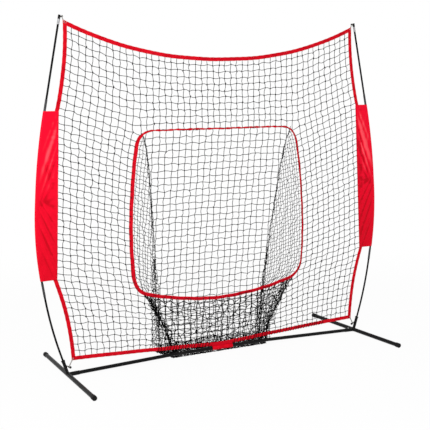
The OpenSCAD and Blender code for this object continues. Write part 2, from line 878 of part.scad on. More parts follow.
module net_bottom() {
  for (side = [left, right])
    scale(side)
      net_flat()
        netting(patch_low, knot_gap, 1, cells_side, cells_low,
                [half_strand, edge_w, edge_w, half_strand]);
  for (q = [0:3])
    net_flat()
      netting(patch_under, q / 4 + knot_gap, (q + 1) / 4, cells_quarter, cells_low,
              [half_strand, half_strand, edge_w, edge_w]);
}

// ---- shells ------------------------------------------------------------------
// A skin over sections that each have the same number of points, closed both ways
module closed_skin(sections) {
  m = len(sections);
  n = len(sections[0]);
  at = function(i, k) (i % m) * n + k % n;
  polyhedron(
    [for (s = sections) each s],
    [
      for (i = [0:m - 1]) for (k = [0:n - 1])
        each [
          [at(i, k), at(i + 1, k), at(i + 1, k + 1)],
          [at(i, k), at(i + 1, k + 1), at(i, k + 1)]
        ]
    ]
  );
}

// The binding's cross-section leans forwards and inwards from the netting's edge
ring_right = concat(
  [for (n = [0:ring_steps - 1]) let (x = ring_top_x * n / ring_steps) [x, ring_top_z]],
  [for (n = [0:ring_steps - 1]) ring_top_bend(n / ring_steps)],
  [for (n = [0:ring_steps - 1])
      let (z = lerp(ring_shoulder_z, ring_knee_z, n / ring_steps)) [ring_side_at(z), z]],
  [for (n = [0:ring_steps - 1]) ring_low_bend(n / ring_steps)],
  [for (n = [ring_steps:-1:0]) let (x = ring_hip_x * n / ring_steps) [x, ring_low_at(x)]]
);
ring_loop = concat(
  ring_right,
  [for (i = [len(ring_right) - 2:-1:1]) [-ring_right[i][0], ring_right[i][1]]]
);

module ring() {
  n = len(ring_loop);
  across = ring_t * [cos(ring_lean), sin(ring_lean)];
  section = [
    [ring_gap, ring_back_y],
    [ring_gap + ring_close, ring_back_y - ring_depth],
    [ring_gap + ring_close, ring_back_y - ring_depth] + across,
    [ring_gap, ring_back_y] + across
  ];
  color("#d40f26")
    closed_skin([
      for (i = [0:n - 1])
        let (
          t = unit(ring_loop[(i + 1) % n] - ring_loop[(i + n - 1) % n]),
          inward = [t[1], -t[0]]
        )
        [for (q = section)
            [ring_loop[i][0] + q[0] * inward[0], q[1], ring_loop[i][1] + q[0] * inward[1]]]
    ]);
}

// ---- bag ---------------------------------------------------------------------
seam_gap = 0.4;
bag_z = bag_lift + net_t + seam_gap;
bag_plane_y = ring_rear_y + seam_t / 2 + seam_gap;
bag_lean = atan2(bag_foot_y - bag_plane_y, bag_top_z - bag_z);
bag_slope = norm([bag_foot_y - bag_plane_y, bag_top_z - bag_z]);
front_lean = atan2(bag_front_y - bag_plane_y, ring_hip_z - bag_z);
seam_half = seam_w / 2;

// The bag's back and front are flat; these give half widths by height share, and depth
function back_half(u) = lerp(bag_foot_x, bag_top_x, pow(u, bag_flare));
function front_half(z) =
  lerp(bag_front_x, bag_lip_x, pow((z - bag_z) / (ring_hip_z - bag_z), bag_front_flare));
function back_y(z) = bag_foot_y - (z - bag_z) * tan(bag_lean);
function front_y(z) = bag_front_y - (z - bag_z) * tan(front_lean);

module back_plane(thickness) {
  translate([0, bag_foot_y, bag_z])
    rotate([bag_lean, 0, 0])
      upright(-thickness / 2, thickness) children();
}

module front_plane(thickness) {
  translate([0, bag_front_y, bag_z])
    rotate([front_lean, 0, 0])
      upright(-thickness / 2, thickness) children();
}

patch_back = function(u, v)
  let (half = back_half(v) - seam_half - seam_gap) [lerp(-half, half, u), v * bag_slope];
seam_steps = 12;
front_seam = [
  for (i = [0:seam_steps])
    let (z = lerp(bag_z, ring_hip_z - seam_half, i / seam_steps))
    [front_half(z), (z - bag_z) / cos(front_lean)]
];
front_edge = flip(offset_path(front_seam, seam_half + seam_gap));
patch_front = function(u, v)
  let (
    w = 2 * u - 1,
    lip = ring_low_at(w * ring_hip_x) - ring_gap - seam_gap,
    s = (lerp(bag_z, lip, v) - bag_z) / cos(front_lean)
  )
  [w * lookup(s, front_edge), s];
patch_floor = function(u, v)
  [
    (2 * u - 1) * lerp(bag_front_x, bag_foot_x, v),
    lerp(bag_front_y - seam_t / 2, bag_foot_y + seam_t / 2, v)
  ];

module bag_back() {
  color("#1c1c1c")
    back_plane(net_t)
      netting(patch_back, 0, 1, bag_cells_x, bag_cells_z, [edge_w, edge_w, edge_w, edge_w]);
}

module bag_front() {
  color("#1c1c1c")
    front_plane(net_t)
      netting(patch_front, 0, 1, bag_cells_front, bag_cells_low,
              [edge_w, edge_w, edge_w, edge_w]);
}

module bag_floor() {
  color("#1c1c1c")
    translate([0, 0, bag_lift])
      linear_extrude(net_t)
        netting(patch_floor, 0, 1, bag_cells_front, bag_cells_side,
                [edge_w, edge_w, edge_w, edge_w]);
}

module bag_seams() {
  back_seam =
    [for (i = [0:seam_steps]) [back_half(i / seam_steps), bag_slope * i / seam_steps]];
  color("#0e0e0e")
    for (side = [left, right])
      scale(side) {
        back_plane(seam_t) polygon(band(back_seam, seam_half, -seam_half));
        front_plane(seam_t) polygon(band(front_seam, seam_half, -seam_half));
      }
}

// The sides hang between the binding or the front seam and the back seam. Both edges lie
// clear of what they hang on by the seam's gap and the netting's own half thickness there.
side_lift = 2;
lip_rise = 8;
crest_drop = 8;
heel_back_z = 440;
side_foot_z = bag_z + side_lift;
lip_z = ring_hip_z + lip_rise;
side_top_z = ring_crest[1] - crest_drop;

function seated(front, back, depth) =
  let (run = unit([back[0] - front[0], back[1] - front[1]]))
  [
    front + [0, depth + seam_gap + abs(run[0]) * net_t / 2, 0],
    back + [seam_half + 3 * seam_gap + abs(run[1]) * net_t / 2, 0, 0]
  ];
function back_edge(z) = [back_half((z - bag_z) / (bag_top_z - bag_z)), back_y(z), z];
function front_edge_at(z) = [front_half(min(z, ring_hip_z)), front_y(z), z];

high_edges = [
  for (k = [0:bag_cells_high])
    let (z = lerp(side_top_z, ring_heel[1], k / bag_cells_high))
    seated([ring_x(z) - ring_gap - ring_t, ring_rear_y, z],
           back_edge(lerp(side_top_z, heel_back_z, k / bag_cells_high)), 0)
];
low_edges = [
  for (k = [-1:bag_cells_low])
    let (back = back_edge(lerp(heel_back_z, side_foot_z, (k + 1) / (bag_cells_low + 1))))
    k < 0
      ? high_edges[bag_cells_high] - [[0, 0, seam_gap], [0, 0, seam_gap]]
      : seated(front_edge_at(lerp(lip_z, side_foot_z, k / bag_cells_low)), back, seam_t / 2)
];

// Netting stretched on straight lines between the two edge points of each row
module ruled_netting(edges, cols) {
  rows = len(edges) - 1;
  g = function(i, j) lerp(edges[j][0], edges[j][1], i / cols);
  normal = function(i, j)
    unit(cross(g(min(i + 1, cols), j) - g(max(i - 1, 0), j),
               g(i, min(j + 1, rows)) - g(i, max(j - 1, 0))));
  knots = [for (j = [0:rows]) for (i = [0:cols]) [g(i, j), normal(i, j) * net_t / 2]];
  holes = [
    for (j = [0:rows - 1]) for (i = [0:cols - 1])
      let (
        a = g(i, j),
        b = g(i + 1, j),
        c = g(i + 1, j + 1),
        d = g(i, j + 1),
        x = half_strand / norm(b - a + c - d) * 2,
        y = half_strand / norm(d - a + c - b) * 2,
        x0 = i == 0 ? 2 * x : x,
        x1 = i == cols - 1 ? 1 - 2 * x : 1 - x,
        y0 = j == 0 ? 2 * y : y,
        y1 = j == rows - 1 ? 1 - 2 * y : 1 - y,
        n = normal(i, j) * net_t / 2,
        q = function(u, v) [lerp(lerp(a, b, u), lerp(d, c, u), v), n]
      )
      each [q(x0, y0), q(x1, y0), q(x1, y1), q(x0, y1)]
  ];
  both = concat(knots, holes);
  total = len(both);
  knot = function(i, j) j * (cols + 1) + i;
  hole = function(i, j, m) len(knots) + 4 * (j * cols + i) + m % 4;
  split = function(a, b, c, d) [[a, b, c], [a, c, d]];
  rim = concat(
    [for (i = [0:cols - 1]) knot(i, 0)], [for (j = [0:rows - 1]) knot(cols, j)],
    [for (i = [cols:-1:1]) knot(i, rows)], [for (j = [rows:-1:1]) knot(0, j)]
  );
  polyhedron(
    concat([for (p = both) p[0] + p[1]], [for (p = both) p[0] - p[1]]),
    concat(
      [
        for (j = [0:rows - 1]) for (i = [0:cols - 1]) for (m = [0:3])
          let (
            k = [knot(i, j), knot(i + 1, j), knot(i + 1, j + 1), knot(i, j + 1)],
            a = k[m],
            b = k[(m + 1) % 4],
            c = hole(i, j, m + 1),
            d = hole(i, j, m)
          )
          each concat(
            split(d, c, b, a),
            split(total + a, total + b, total + c, total + d),
            split(d, total + d, total + c, c)
          )
      ],
      [
        for (k = [0:len(rim) - 1])
          let (a = rim[k], b = rim[(k + 1) % len(rim)])
          each split(a, b, total + b, total + a)
      ]
    )
  );
}

module bag_side(side) {
  color("#1c1c1c")
    scale(side) {
      ruled_netting(high_edges, bag_cells_side);
      ruled_netting(low_edges, bag_cells_side);
    }
}

// ---- sleeves -------------------------------------------------------------------
sleeve_levels = 9;
sleeve_turns = 8;
sleeve_tail = 2.2;
sleeve_hem_gap = 0.5;
sleeve_inner_r = ferrule_r + sleeve_gap;

function sleeve_section(z, grow) =
  let (x = pole_x(z), r = sleeve_inner_r + grow, tail = side_x(z) + hem_half + sleeve_hem_gap)
  concat(
    [for (a = [0:sleeve_turns]) let (t = 180 * a / sleeve_turns - 90)
        [x + r * cos(t), r * sin(t), z]],
    [[tail + sleeve_t - grow, sleeve_tail - sleeve_t + grow, z],
     [tail + sleeve_t - grow, -sleeve_tail + sleeve_t - grow, z]]
  );

module sleeve(side) {
  heights = [for (k = [0:sleeve_levels]) lerp(sleeve_bot_z, sleeve_top_z, k / sleeve_levels)];
  outer = [for (z = heights) sleeve_section(z, sleeve_t)];
  inner = [for (z = heights) sleeve_section(z, 0)];
  color("#e8142c")
    scale(side)
      closed_skin([
        for (k = [0:sleeve_turns + 2])
          concat([for (s = outer) s[k]], [for (j = [sleeve_levels:-1:0]) inner[j][k]])
      ]);
}

// ---- strap ----------------------------------------------------------------------
strap_r = bar_r + fit;
strap_leg = hem_t / 2 + fit;
strap_rise = 2;
strap_short = 2;
strap_knee = bar_r + strap_rise;
strap_top = hem_mid_z + hem_half - strap_short - bar_mid_z;
tab_z = strap_knee + fit;

// One side of the strap, from its front leg's edge round the bar to its back leg's edge
function strap_side(grow) = concat(
  [[-strap_leg - grow, strap_knee]],
  [for (a = [135:15:405]) (strap_r + grow) * [cos(a), sin(a)]],
  [[strap_leg + grow, strap_knee], [strap_leg + grow, strap_top]]
);

// Y and Z of a drawing in the plane, carried along X over the strap's width
module along_bar(width) {
  translate([-width / 2, 0, bar_mid_z])
    rotate([90, 0, 90])
      linear_extrude(width) children();
}

module strap() {
  color("#d91029")
    along_bar(strap_w)
      polygon(concat(strap_side(strap_t), back_to_front(strap_side(0))));
}

module strap_tab() {
  color("#b60c20")
    along_bar(strap_w)
      translate([-strap_leg - strap_t, tab_z])
        square([strap_t, strap_tab_length]);
}

// ---- tip caps and corner cords ---------------------------------------------------
cord_r = cord_d / 2;
peg_r = 3;
cord_half = peg_r + cord_r + fit;
eye_play = 1.6;
cord_slack = cord_half - eye_play;
peg_neck_end = cord_r + 1;

// An endless cord from a peg at [x, z] to an eye at a distance along an angle from +Z
module cord_loop(peg, angle, distance) {
  span = distance - cord_slack;
  translate([peg[0], 0, peg[1]])
    rotate([0, angle, 0]) {
      for (y = [-cord_half, cord_half])
        translate([0, y, 0]) cylinder(r = cord_r, h = span);
      translate([0, 0, span]) cord_bend();
      scale([1, 1, -1]) cord_bend();
    }
}

module cord_bend() {
  rotate([90, 0, 90])
    rotate_extrude(angle = 180)
      translate([cord_half, 0])
        circle(cord_r, $fn = 32);
}

// A cap with a headed peg, which points inwards and up so that the corner cord hangs square to it
tip_end = 3;
peg_head_r = 5;
peg_head_t = 3;
peg_at = top_start + (rod_top - peg_drop) * [sin(top_lean), cos(top_lean)];
to_hole = top_hole - peg_at;
tip_peg_rise = acos(tip_peg_seat / norm(to_hole)) - atan2(-to_hole[1], -to_hole[0]);
tip_peg_way = [-cos(tip_peg_rise), sin(tip_peg_rise)];

module tip(side) {
  reach = tip_peg_seat + peg_neck_end;
  color("#101011")
    scale(side)
      difference() {
        union() {
          pole_straight(7, rod_top - tip_depth, rod_top + tip_end, tip_d / 2);
          translate([peg_at[0], 0, peg_at[1]])
            rotate([0, tip_peg_rise - 90, 0]) {
              cylinder(r = peg_r, h = reach + peg_head_t);
              translate([0, 0, reach]) cylinder(r = peg_head_r, h = peg_head_t);
            }
        }
        pole_straight(7, rod_top - tip_depth - 1, rod_top, rod_r + snug);
      }
}

tip_neck = peg_at + tip_peg_seat * tip_peg_way;

module cords_top() {
  color("#202022")
    for (side = [left, right])
      scale(side) cord_loop(tip_neck, 180 + tip_peg_rise, norm(top_hole - tip_neck));
}

peg_root = [foot_x, foot_z] + cord_peg_seat * [sin(socket_lean), cos(socket_lean)];
peg_way = [-cos(cord_peg_dip), -sin(cord_peg_dip)];
peg_reach = (bottom_hole - peg_root) * peg_way;
peg_neck = peg_root + peg_reach * peg_way;

module cords_bottom() {
  color("#202022")
    for (side = [left, right])
      scale(side) cord_loop(peg_neck, -cord_peg_dip, norm(bottom_hole - peg_neck));
}

// Each lower peg is coped to its socket and carries a ball that keeps the cord on
cope = 0.05;

module cord_balls() {
  color("#0d0d0e")
    for (side = [left, right])
      scale(side)
        difference() {
          translate([peg_neck[0], 0, peg_neck[1]])
            rotate([0, -90 - cord_peg_dip, 0]) {
              translate([0, 0, -peg_reach])
                cylinder(r = peg_r, h = peg_reach + peg_neck_end + ball_d / 2);
              translate([0, 0, peg_neck_end + sqrt(ball_d * ball_d / 4 - peg_r * peg_r)])
                sphere(d = ball_d);
            }
          socket_frame() cylinder(d = socket_od + 2 * cope, h = socket_length);
        }
}

foot(left);  // foot_left
foot(right);  // foot_right
stub(left);  // stub_left
stub(right);  // stub_right
socket(left);  // socket_left
socket(right);  // socket_right
liner(left);  // liner_left
liner(right);  // liner_right
foot_caps(left);  // foot_caps_left
foot_caps(right);  // foot_caps_right
bar_outer(left);  // bar_left
bar_centre();  // bar_middle
bar_outer(right);  // bar_right
joiner(left);  // joiner_left
joiner(right);  // joiner_right
button(-stub_button_x, bar_bore, foot_r);  // button_foot_left
button(stub_button_x, bar_bore, foot_r);  // button_foot_right
button(-joint_button_x, joiner_bore, bar_r);  // button_bar_left
button(joint_button_x, joiner_bore, bar_r);  // button_bar_right
leaf(-stub_button_x, bar_bore, 1);  // spring_foot_left
leaf(stub_button_x, bar_bore, -1);  // spring_foot_right
leaf(-joint_button_x, joiner_bore, -1);  // spring_bar_left
leaf(joint_button_x, joiner_bore, 1);  // spring_bar_right
rod(left, 1);  // rod_left_1
rod(left, 2);  // rod_left_2
rod(left, 3);  // rod_left_3
rod(left, 4);  // rod_left_4
rod(right, 1);  // rod_right_1
rod(right, 2);  // rod_right_2
rod(right, 3);  // rod_right_3
rod(right, 4);  // rod_right_4
ferrules(left);  // ferrules_left
ferrules(right);  // ferrules_right
tip(left);  // tip_left
tip(right);  // tip_right
hem_top();
hem_bottom();
hem_side(left);  // hem_left
hem_side(right);  // hem_right
net_top();
net_bottom();
net_side(left);  // net_left
net_side(right);  // net_right
ring();
bag_back();
bag_front();
bag_floor();
bag_side(left);  // bag_side_left
bag_side(right);  // bag_side_right
bag_seams();
sleeve(left);  // sleeve_left
sleeve(right);  // sleeve_right
strap();
strap_tab();
corner_tabs();
cords_top();
cords_bottom();
cord_balls();
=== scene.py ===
"""Pitching target net: a red-hemmed square net on two bowed poles, with a ball bag behind its
bound opening. Metres, +Z up, X across the net, -Y towards the thrower."""
import json
import math

import bmesh
import bpy
import numpy as np
from mathutils import Matrix, Vector, noise


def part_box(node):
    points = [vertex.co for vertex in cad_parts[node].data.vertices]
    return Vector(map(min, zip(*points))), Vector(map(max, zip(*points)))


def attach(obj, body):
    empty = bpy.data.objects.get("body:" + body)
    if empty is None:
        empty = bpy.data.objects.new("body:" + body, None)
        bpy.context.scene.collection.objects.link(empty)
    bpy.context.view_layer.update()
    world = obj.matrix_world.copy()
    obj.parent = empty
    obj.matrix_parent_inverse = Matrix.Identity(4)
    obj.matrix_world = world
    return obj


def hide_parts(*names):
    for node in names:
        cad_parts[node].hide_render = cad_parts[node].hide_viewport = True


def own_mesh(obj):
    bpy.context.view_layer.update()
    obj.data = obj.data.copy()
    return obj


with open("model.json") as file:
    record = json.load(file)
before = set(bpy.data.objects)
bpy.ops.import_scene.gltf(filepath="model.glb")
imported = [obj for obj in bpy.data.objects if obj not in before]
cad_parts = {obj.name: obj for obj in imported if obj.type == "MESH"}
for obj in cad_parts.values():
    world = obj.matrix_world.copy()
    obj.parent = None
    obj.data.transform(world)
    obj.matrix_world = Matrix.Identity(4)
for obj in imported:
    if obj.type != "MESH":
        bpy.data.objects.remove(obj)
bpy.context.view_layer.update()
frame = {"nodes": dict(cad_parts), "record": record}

MM = 0.001

# ---- camera -------------------------------------------------------------------
IMAGE_PX = 430
FOCAL_PX = 911.57
SENSOR_MM = 36.0
CAMERA_AT = Vector((-2.7128, -5.1293, 1.6868))
CAMERA_YAW, CAMERA_PITCH, CAMERA_ROLL = (math.radians(a) for a in (27.51, 7.64, -0.687))


def add_camera():
    """The camera stands at the net's left front and looks slightly down."""
    level, dip = math.cos(CAMERA_PITCH), math.sin(CAMERA_PITCH)
    ahead = Vector((math.sin(CAMERA_YAW) * level, math.cos(CAMERA_YAW) * level, -dip))
    right = Vector((math.cos(CAMERA_YAW), -math.sin(CAMERA_YAW), 0))
    up = right.cross(ahead)
    cos_roll, sin_roll = math.cos(CAMERA_ROLL), math.sin(CAMERA_ROLL)
    axes = (cos_roll * right + sin_roll * up, cos_roll * up - sin_roll * right, -ahead)
    data = bpy.data.cameras.new("camera")
    data.sensor_fit = "HORIZONTAL"
    data.sensor_width = SENSOR_MM
    data.lens = FOCAL_PX / IMAGE_PX * SENSOR_MM
    camera = bpy.data.objects.new("camera", data)
    bpy.context.scene.collection.objects.link(camera)
    camera.matrix_world = Matrix.Translation(CAMERA_AT) @ Matrix(axes).transposed().to_4x4()
    bpy.context.scene.camera = camera


# ---- sizes of the net, the same as the solids' ----------------------------------
HEM_WIDTH = 24 * MM
HEM_HALF = HEM_WIDTH / 2
TOP_X, TOP_Z, TOP_SAG, TOP_POWER = 1.0005, 2.097, 0.202, 2.2
LOW_X, LOW_Z, LOW_POWER = 1.015, 0.110, 1.2
LOW_MID_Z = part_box("hem_bottom")[0].z + HEM_HALF
SLEEVE_LOW_Z, SLEEVE_TOP_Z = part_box("sleeve_left")[0].z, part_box("sleeve_left")[1].z
SLEEVE_LOW_X, SLEEVE_TOP_X = 1.1098, 1.0658
SIDE_BOW_LOW, SIDE_BOW_TOP = 0.018, 0.017
TAB_IN = 8 * MM

RING_TOP_X, RING_TOP_Z = 0.455, 1.463
RING_SHOULDER_X, RING_SHOULDER_Z = 0.577, 1.345
RING_HALF, RING_WIDE_Z = 0.622, 0.800
RING_KNEE_Z, RING_HIP_X, RING_HIP_Z, RING_LOW_Z = 0.600, 0.500, 0.441, 0.371

BAG_Z, BAG_TOP_Z = 0.0054, 1.462
BAG_TOP_X, BAG_FOOT_X, BAG_FLARE = 0.505, 0.381, 1.4
BAG_FLICK, BAG_FLICK_POWER = 0.034, 18
BAG_FOOT_Y, BAG_TOP_Y = 0.203, 0.0069
BAG_LIP_X, BAG_FRONT_X, BAG_FRONT_FLARE = 0.540, 0.338, 1.6
BAG_FRONT_Y = 0.030
BAG_KNOT_Z = BAG_Z + 3 * MM

FOOT_X, FOOT_Z, FOOT_R = 1.0525, 14.95 * MM, 13 * MM
STUB_RISE, SOCKET_LEAN = math.atan(0.023 / 0.7025), math.radians(17.8)


def lerp(a, b, t):
    """The point a share t of the way from a to b."""
    return a + (b - a) * t


def top_z(x):
    """Height of the top hem's centre line."""
    return TOP_Z - TOP_SAG * (1 - (abs(x) / TOP_X) ** TOP_POWER)


def bottom_z(x):
    """Height of the bottom hem's centre line."""
    return LOW_Z - (LOW_Z - LOW_MID_Z) * max(0.0, 1 - abs(x) / LOW_X) ** LOW_POWER


def bowed(z, z0, z1, x0, x1, bow):
    """A side hem's leg between two heights, bowed inwards."""
    u = (z - z0) / (z1 - z0)
    return lerp(x0, x1, u) - 4 * bow * u * (1 - u)


def side_x(z):
    """Distance of a side hem's centre line from the middle."""
    if z > SLEEVE_TOP_Z:
        return bowed(z, SLEEVE_TOP_Z, TOP_Z, SLEEVE_TOP_X, TOP_X, SIDE_BOW_TOP)
    if z < SLEEVE_LOW_Z:
        return bowed(z, LOW_Z, SLEEVE_LOW_Z, LOW_X, SLEEVE_LOW_X, SIDE_BOW_LOW)
    return bowed(z, SLEEVE_LOW_Z, SLEEVE_TOP_Z, SLEEVE_LOW_X, SLEEVE_TOP_X, 0)


def bezier(a, b, c, t):
    """A point of the curve from a to c that is pulled towards b."""
    return (1 - t) ** 2 * np.array(a) + 2 * t * (1 - t) * np.array(b) + t * t * np.array(c)


def ring_side_at(z):
    """Half width of the opening between its corners."""
    share = (z - RING_WIDE_Z) / (RING_SHOULDER_Z - RING_WIDE_Z)
    return RING_HALF - (RING_HALF - RING_SHOULDER_X) * share ** 2


def ring_low_at(x):
    """Height of the opening's lower edge between its corners."""
    return RING_LOW_Z + (RING_HIP_Z - RING_LOW_Z) * (x / RING_HIP_X) ** 2


RING_CORNER_SHARE, RING_FOOT_IN, RING_FOOT_UP = -0.3, 4 * MM, 21 * MM
RING_CORNER = (lerp(RING_SHOULDER_X, RING_HALF, RING_CORNER_SHARE), RING_TOP_Z)
RING_KNEE_X = ring_side_at(RING_KNEE_Z)
RING_FOOT = (RING_KNEE_X - RING_FOOT_IN, RING_HIP_Z + RING_FOOT_UP)


def ring_top_bend(t):
    """The opening's upper corner, from its top edge to its side."""
    return bezier((RING_TOP_X, RING_TOP_Z), RING_CORNER, (RING_SHOULDER_X, RING_SHOULDER_Z), t)


def ring_low_bend(t):
    """The opening's lower corner, from its side to its lower edge."""
    return bezier((RING_KNEE_X, RING_KNEE_Z), RING_FOOT, (RING_HIP_X, RING_HIP_Z), t)


RING_CREST, RING_HEEL = ring_top_bend(0.5), ring_low_bend(0.5)
RING_RIGHT = np.array(
    [(RING_TOP_X * t, RING_TOP_Z) for t in np.linspace(0, 1, 40)[:-1]]
    + [tuple(ring_top_bend(t)) for t in np.linspace(0, 1, 24)[:-1]]
    + [(ring_side_at(z), z) for z in np.linspace(RING_SHOULDER_Z, RING_KNEE_Z, 70)[:-1]]
    + [tuple(ring_low_bend(t)) for t in np.linspace(0, 1, 28)[:-1]]
    + [(x, ring_low_at(x)) for x in np.linspace(RING_HIP_X, 0, 46)]
)
RING_LOOP = np.concatenate([RING_RIGHT, RING_RIGHT[-2:0:-1] * (-1, 1)])


def ring_x(z):
    """Half width of the opening at a height between its crest and its heel."""
    heights = RING_RIGHT[:, 1]
    side = RING_RIGHT[(heights <= RING_CREST[1] + MM) & (heights >= RING_HEEL[1] - MM)]
    return np.interp(z, side[::-1, 1], side[::-1, 0])


def ring_top_at(x):
    """Height of the opening's upper edge."""
    upper = RING_RIGHT[RING_RIGHT[:, 1] > RING_SHOULDER_Z]
    return np.interp(abs(x), upper[:, 0], upper[:, 1])


def ring_bottom_at(x):
    """Height of the opening's lower edge, its corners included."""
    lower = RING_RIGHT[RING_RIGHT[:, 1] < RING_KNEE_Z][::-1]
    return np.interp(abs(x), lower[:, 0], lower[:, 1])


# ---- node trees written as expressions ------------------------------------------
class Wire:
    """One output of a node. Arithmetic on it adds Math nodes to its tree."""

    def __init__(self, graph, socket):
        self.graph, self.socket = graph, socket

    def math(self, operation, *values):
        """A Math node on the given values."""
        return self.graph.add("ShaderNodeMath", {"operation": operation}, dict(enumerate(values)))

    def __add__(self, other):
        return self.math("ADD", self, other)

    def __sub__(self, other):
        return self.math("SUBTRACT", self, other)

    def __rsub__(self, other):
        return self.math("SUBTRACT", other, self)

    def __mul__(self, other):
        return self.math("MULTIPLY", self, other)

    def __pow__(self, power):
        return self.math("POWER", self, power)

    __radd__, __rmul__ = __add__, __mul__

    def sine(self):
        """The sine of a value in radians."""
        return self.math("SINE", self)

    def size(self):
        """The value without its sign."""
        return self.math("ABSOLUTE", self)

    def step(self, low, high):
        """0 below low, 1 above high and smooth between them."""
        return self.graph.add(
            "ShaderNodeMapRange",
            {"interpolation_type": "SMOOTHSTEP"},
            {"Value": self, "From Min": low, "From Max": high},
        )


class Graph:
    """A node tree. add() makes any node from its type, its settings and its sockets."""

    def __init__(self, tree):
        self.tree = tree

    def plug(self, socket, value):
        """Links a wire to a socket, or sets the socket's own value."""
        if isinstance(value, Wire):
            self.tree.links.new(value.socket, socket)
        elif isinstance(value, (tuple, list)) and len(value) == 3 and socket.type == "RGBA":
            socket.default_value = (*value, 1)
        else:
            socket.default_value = value

    def add(self, kind, settings=None, sockets=None, out=0):
        """Adds a node, with its settings first and then its sockets, and gives one output."""
        node = self.tree.nodes.new(kind)
        for name, value in (settings or {}).items():
            setattr(node, name, value)
        for name, value in (sockets or {}).items():
            self.plug(node.inputs[name], value)
        return Wire(self, node.outputs[out])

    def place(self):
        """Object coordinates, which are the frame's metres."""
        return self.add("ShaderNodeTexCoord", out="Object")

    def weave_uv(self):
        """Metres along and across a strip or a cloth, as two wires."""
        uv = self.add("ShaderNodeUVMap", {"uv_map": "weave"})
        parts = self.add("ShaderNodeSeparateXYZ", sockets={0: uv})
        return parts, Wire(self, parts.socket.node.outputs[1])

    def stretched(self, vector, scale):
        """The vector with each axis scaled, so that a pattern runs along one of them."""
        return self.add("ShaderNodeMapping", sockets={"Vector": vector, "Scale": scale})

    def clouds(self, vector, per_metre, detail=2.0, rough=0.5):
        """Soft random values of about 0.2 to 0.8, so many to a metre."""
        return self.add(
            "ShaderNodeTexNoise",
            sockets={"Vector": vector, "Scale": per_metre, "Detail": detail, "Roughness": rough},
        )

    def in_view(self):
        """1 on rays from the camera, in gloss and through glass, and 0 on other rays."""
        seen = self.add("ShaderNodeLightPath", out="Is Camera Ray")
        for ray in ("Is Glossy Ray", "Is Transmission Ray"):
            seen = seen.math("MAXIMUM", seen, self.add("ShaderNodeLightPath", out=ray))
        return seen

    def mix(self, share, a, b):
        """A colour between a and b."""
        return self.add(
            "ShaderNodeMix", {"data_type": "RGBA"}, {0: share, 6: a, 7: b}, out=2
        )

    def bump(self, height, depth, under=None):
        """A normal for a height of 0 to 1 that stands for a depth in metres."""
        sockets = {"Strength": 1.0, "Distance": depth, "Height": height}
        if under is not None:
            sockets["Normal"] = under
        return self.add("ShaderNodeBump", sockets=sockets)


def material(name, finish):
    """A material whose main shader takes what finish(graph) gives for each socket."""
    made = bpy.data.materials.new(name)
    made.use_nodes = True
    graph = Graph(made.node_tree)
    shader = made.node_tree.nodes["Principled BSDF"]
    for socket, value in finish(graph).items():
        graph.plug(shader.inputs[socket], value)
    return made


# ---- finishes -------------------------------------------------------------------
def powder_coat(g):
    """Satin black powder coat with a fine orange peel, a little dust and rubbed spots."""
    place = g.place()
    peel = g.clouds(place, 700, 2)
    dust = g.clouds(place, 9, 5).step(0.5, 0.75)
    rubbed = g.clouds(place, 60, 4).step(0.66, 0.74)
    tone = g.mix(dust * 0.6, (0.003, 0.003, 0.0034), (0.011, 0.0105, 0.010))
    return {
        "Base Color": g.mix(rubbed * 0.4, tone, (0.028, 0.028, 0.029)),
        "Roughness": 0.24 + 0.2 * peel + 0.12 * dust,
        "Normal": g.bump(peel, 0.06 * MM),
        "Specular IOR Level": 0.1,
    }


def moulded_plastic(g):
    """Black moulded plastic with a fine spark-eroded grain."""
    place = g.place()
    grain = g.clouds(place, 1500, 3)
    worn = g.clouds(place, 35, 3).step(0.55, 0.75)
    return {
        "Base Color": g.mix(worn, (0.003, 0.003, 0.0033), (0.011, 0.011, 0.0115)),
        "Roughness": 0.46 + 0.2 * grain,
        "Normal": g.bump(grain, 0.07 * MM),
        "Specular IOR Level": 0.14,
    }


def zinc_plate(g):
    """Bright zinc with fine drawn lines and cloudy patches."""
    place = g.place()
    lines = g.clouds(g.stretched(place, (0.06, 1, 1)), 2600, 3)
    cloudy = g.clouds(place, 120, 3)
    return {
        "Base Color": g.mix(cloudy, (0.52, 0.53, 0.55), (0.72, 0.72, 0.70)),
        "Metallic": 1.0,
        "Roughness": 0.26 + 0.18 * lines,
        "Normal": g.bump(lines, 0.02 * MM),
    }


def glass_fibre(g):
    """Black pultruded rod: faint streaks along it under a clear, rather glossy skin."""
    place = g.place()
    streaks = g.clouds(g.stretched(place, (1, 1, 0.03)), 1400, 4)
    bands = g.clouds(g.stretched(place, (1, 1, 0.3)), 30, 2)
    return {
        "Base Color": g.mix(streaks, (0.001, 0.001, 0.0012), (0.005, 0.005, 0.0055)),
        "Roughness": 0.3 + 0.16 * bands,
        "Normal": g.bump(streaks, 0.03 * MM),
        "Specular IOR Level": 0.04,
    }


def dull_ferrule(g):
    """A steel sleeve, turned, then dulled by handling; the short ones at the tips are paler."""
    place = g.place()
    height = g.add("ShaderNodeSeparateXYZ", sockets={0: place}, out=2)
    turned = g.clouds(g.stretched(place, (0.1, 0.1, 1)), 2400, 2)
    marks = g.clouds(place, 70, 4).step(0.5, 0.8)
    dark = g.mix(marks, (0.055, 0.055, 0.058), (0.02, 0.02, 0.021))
    pale = g.mix(marks, (0.36, 0.36, 0.37), (0.20, 0.20, 0.205))
    return {
        "Base Color": g.mix(height.step(1.95, 2.0), dark, pale),
        "Metallic": 0.7,
        "Roughness": 0.42 + 0.2 * turned + 0.15 * marks,
        "Normal": g.bump(turned, 0.03 * MM),
        "Specular IOR Level": 0.2,
    }


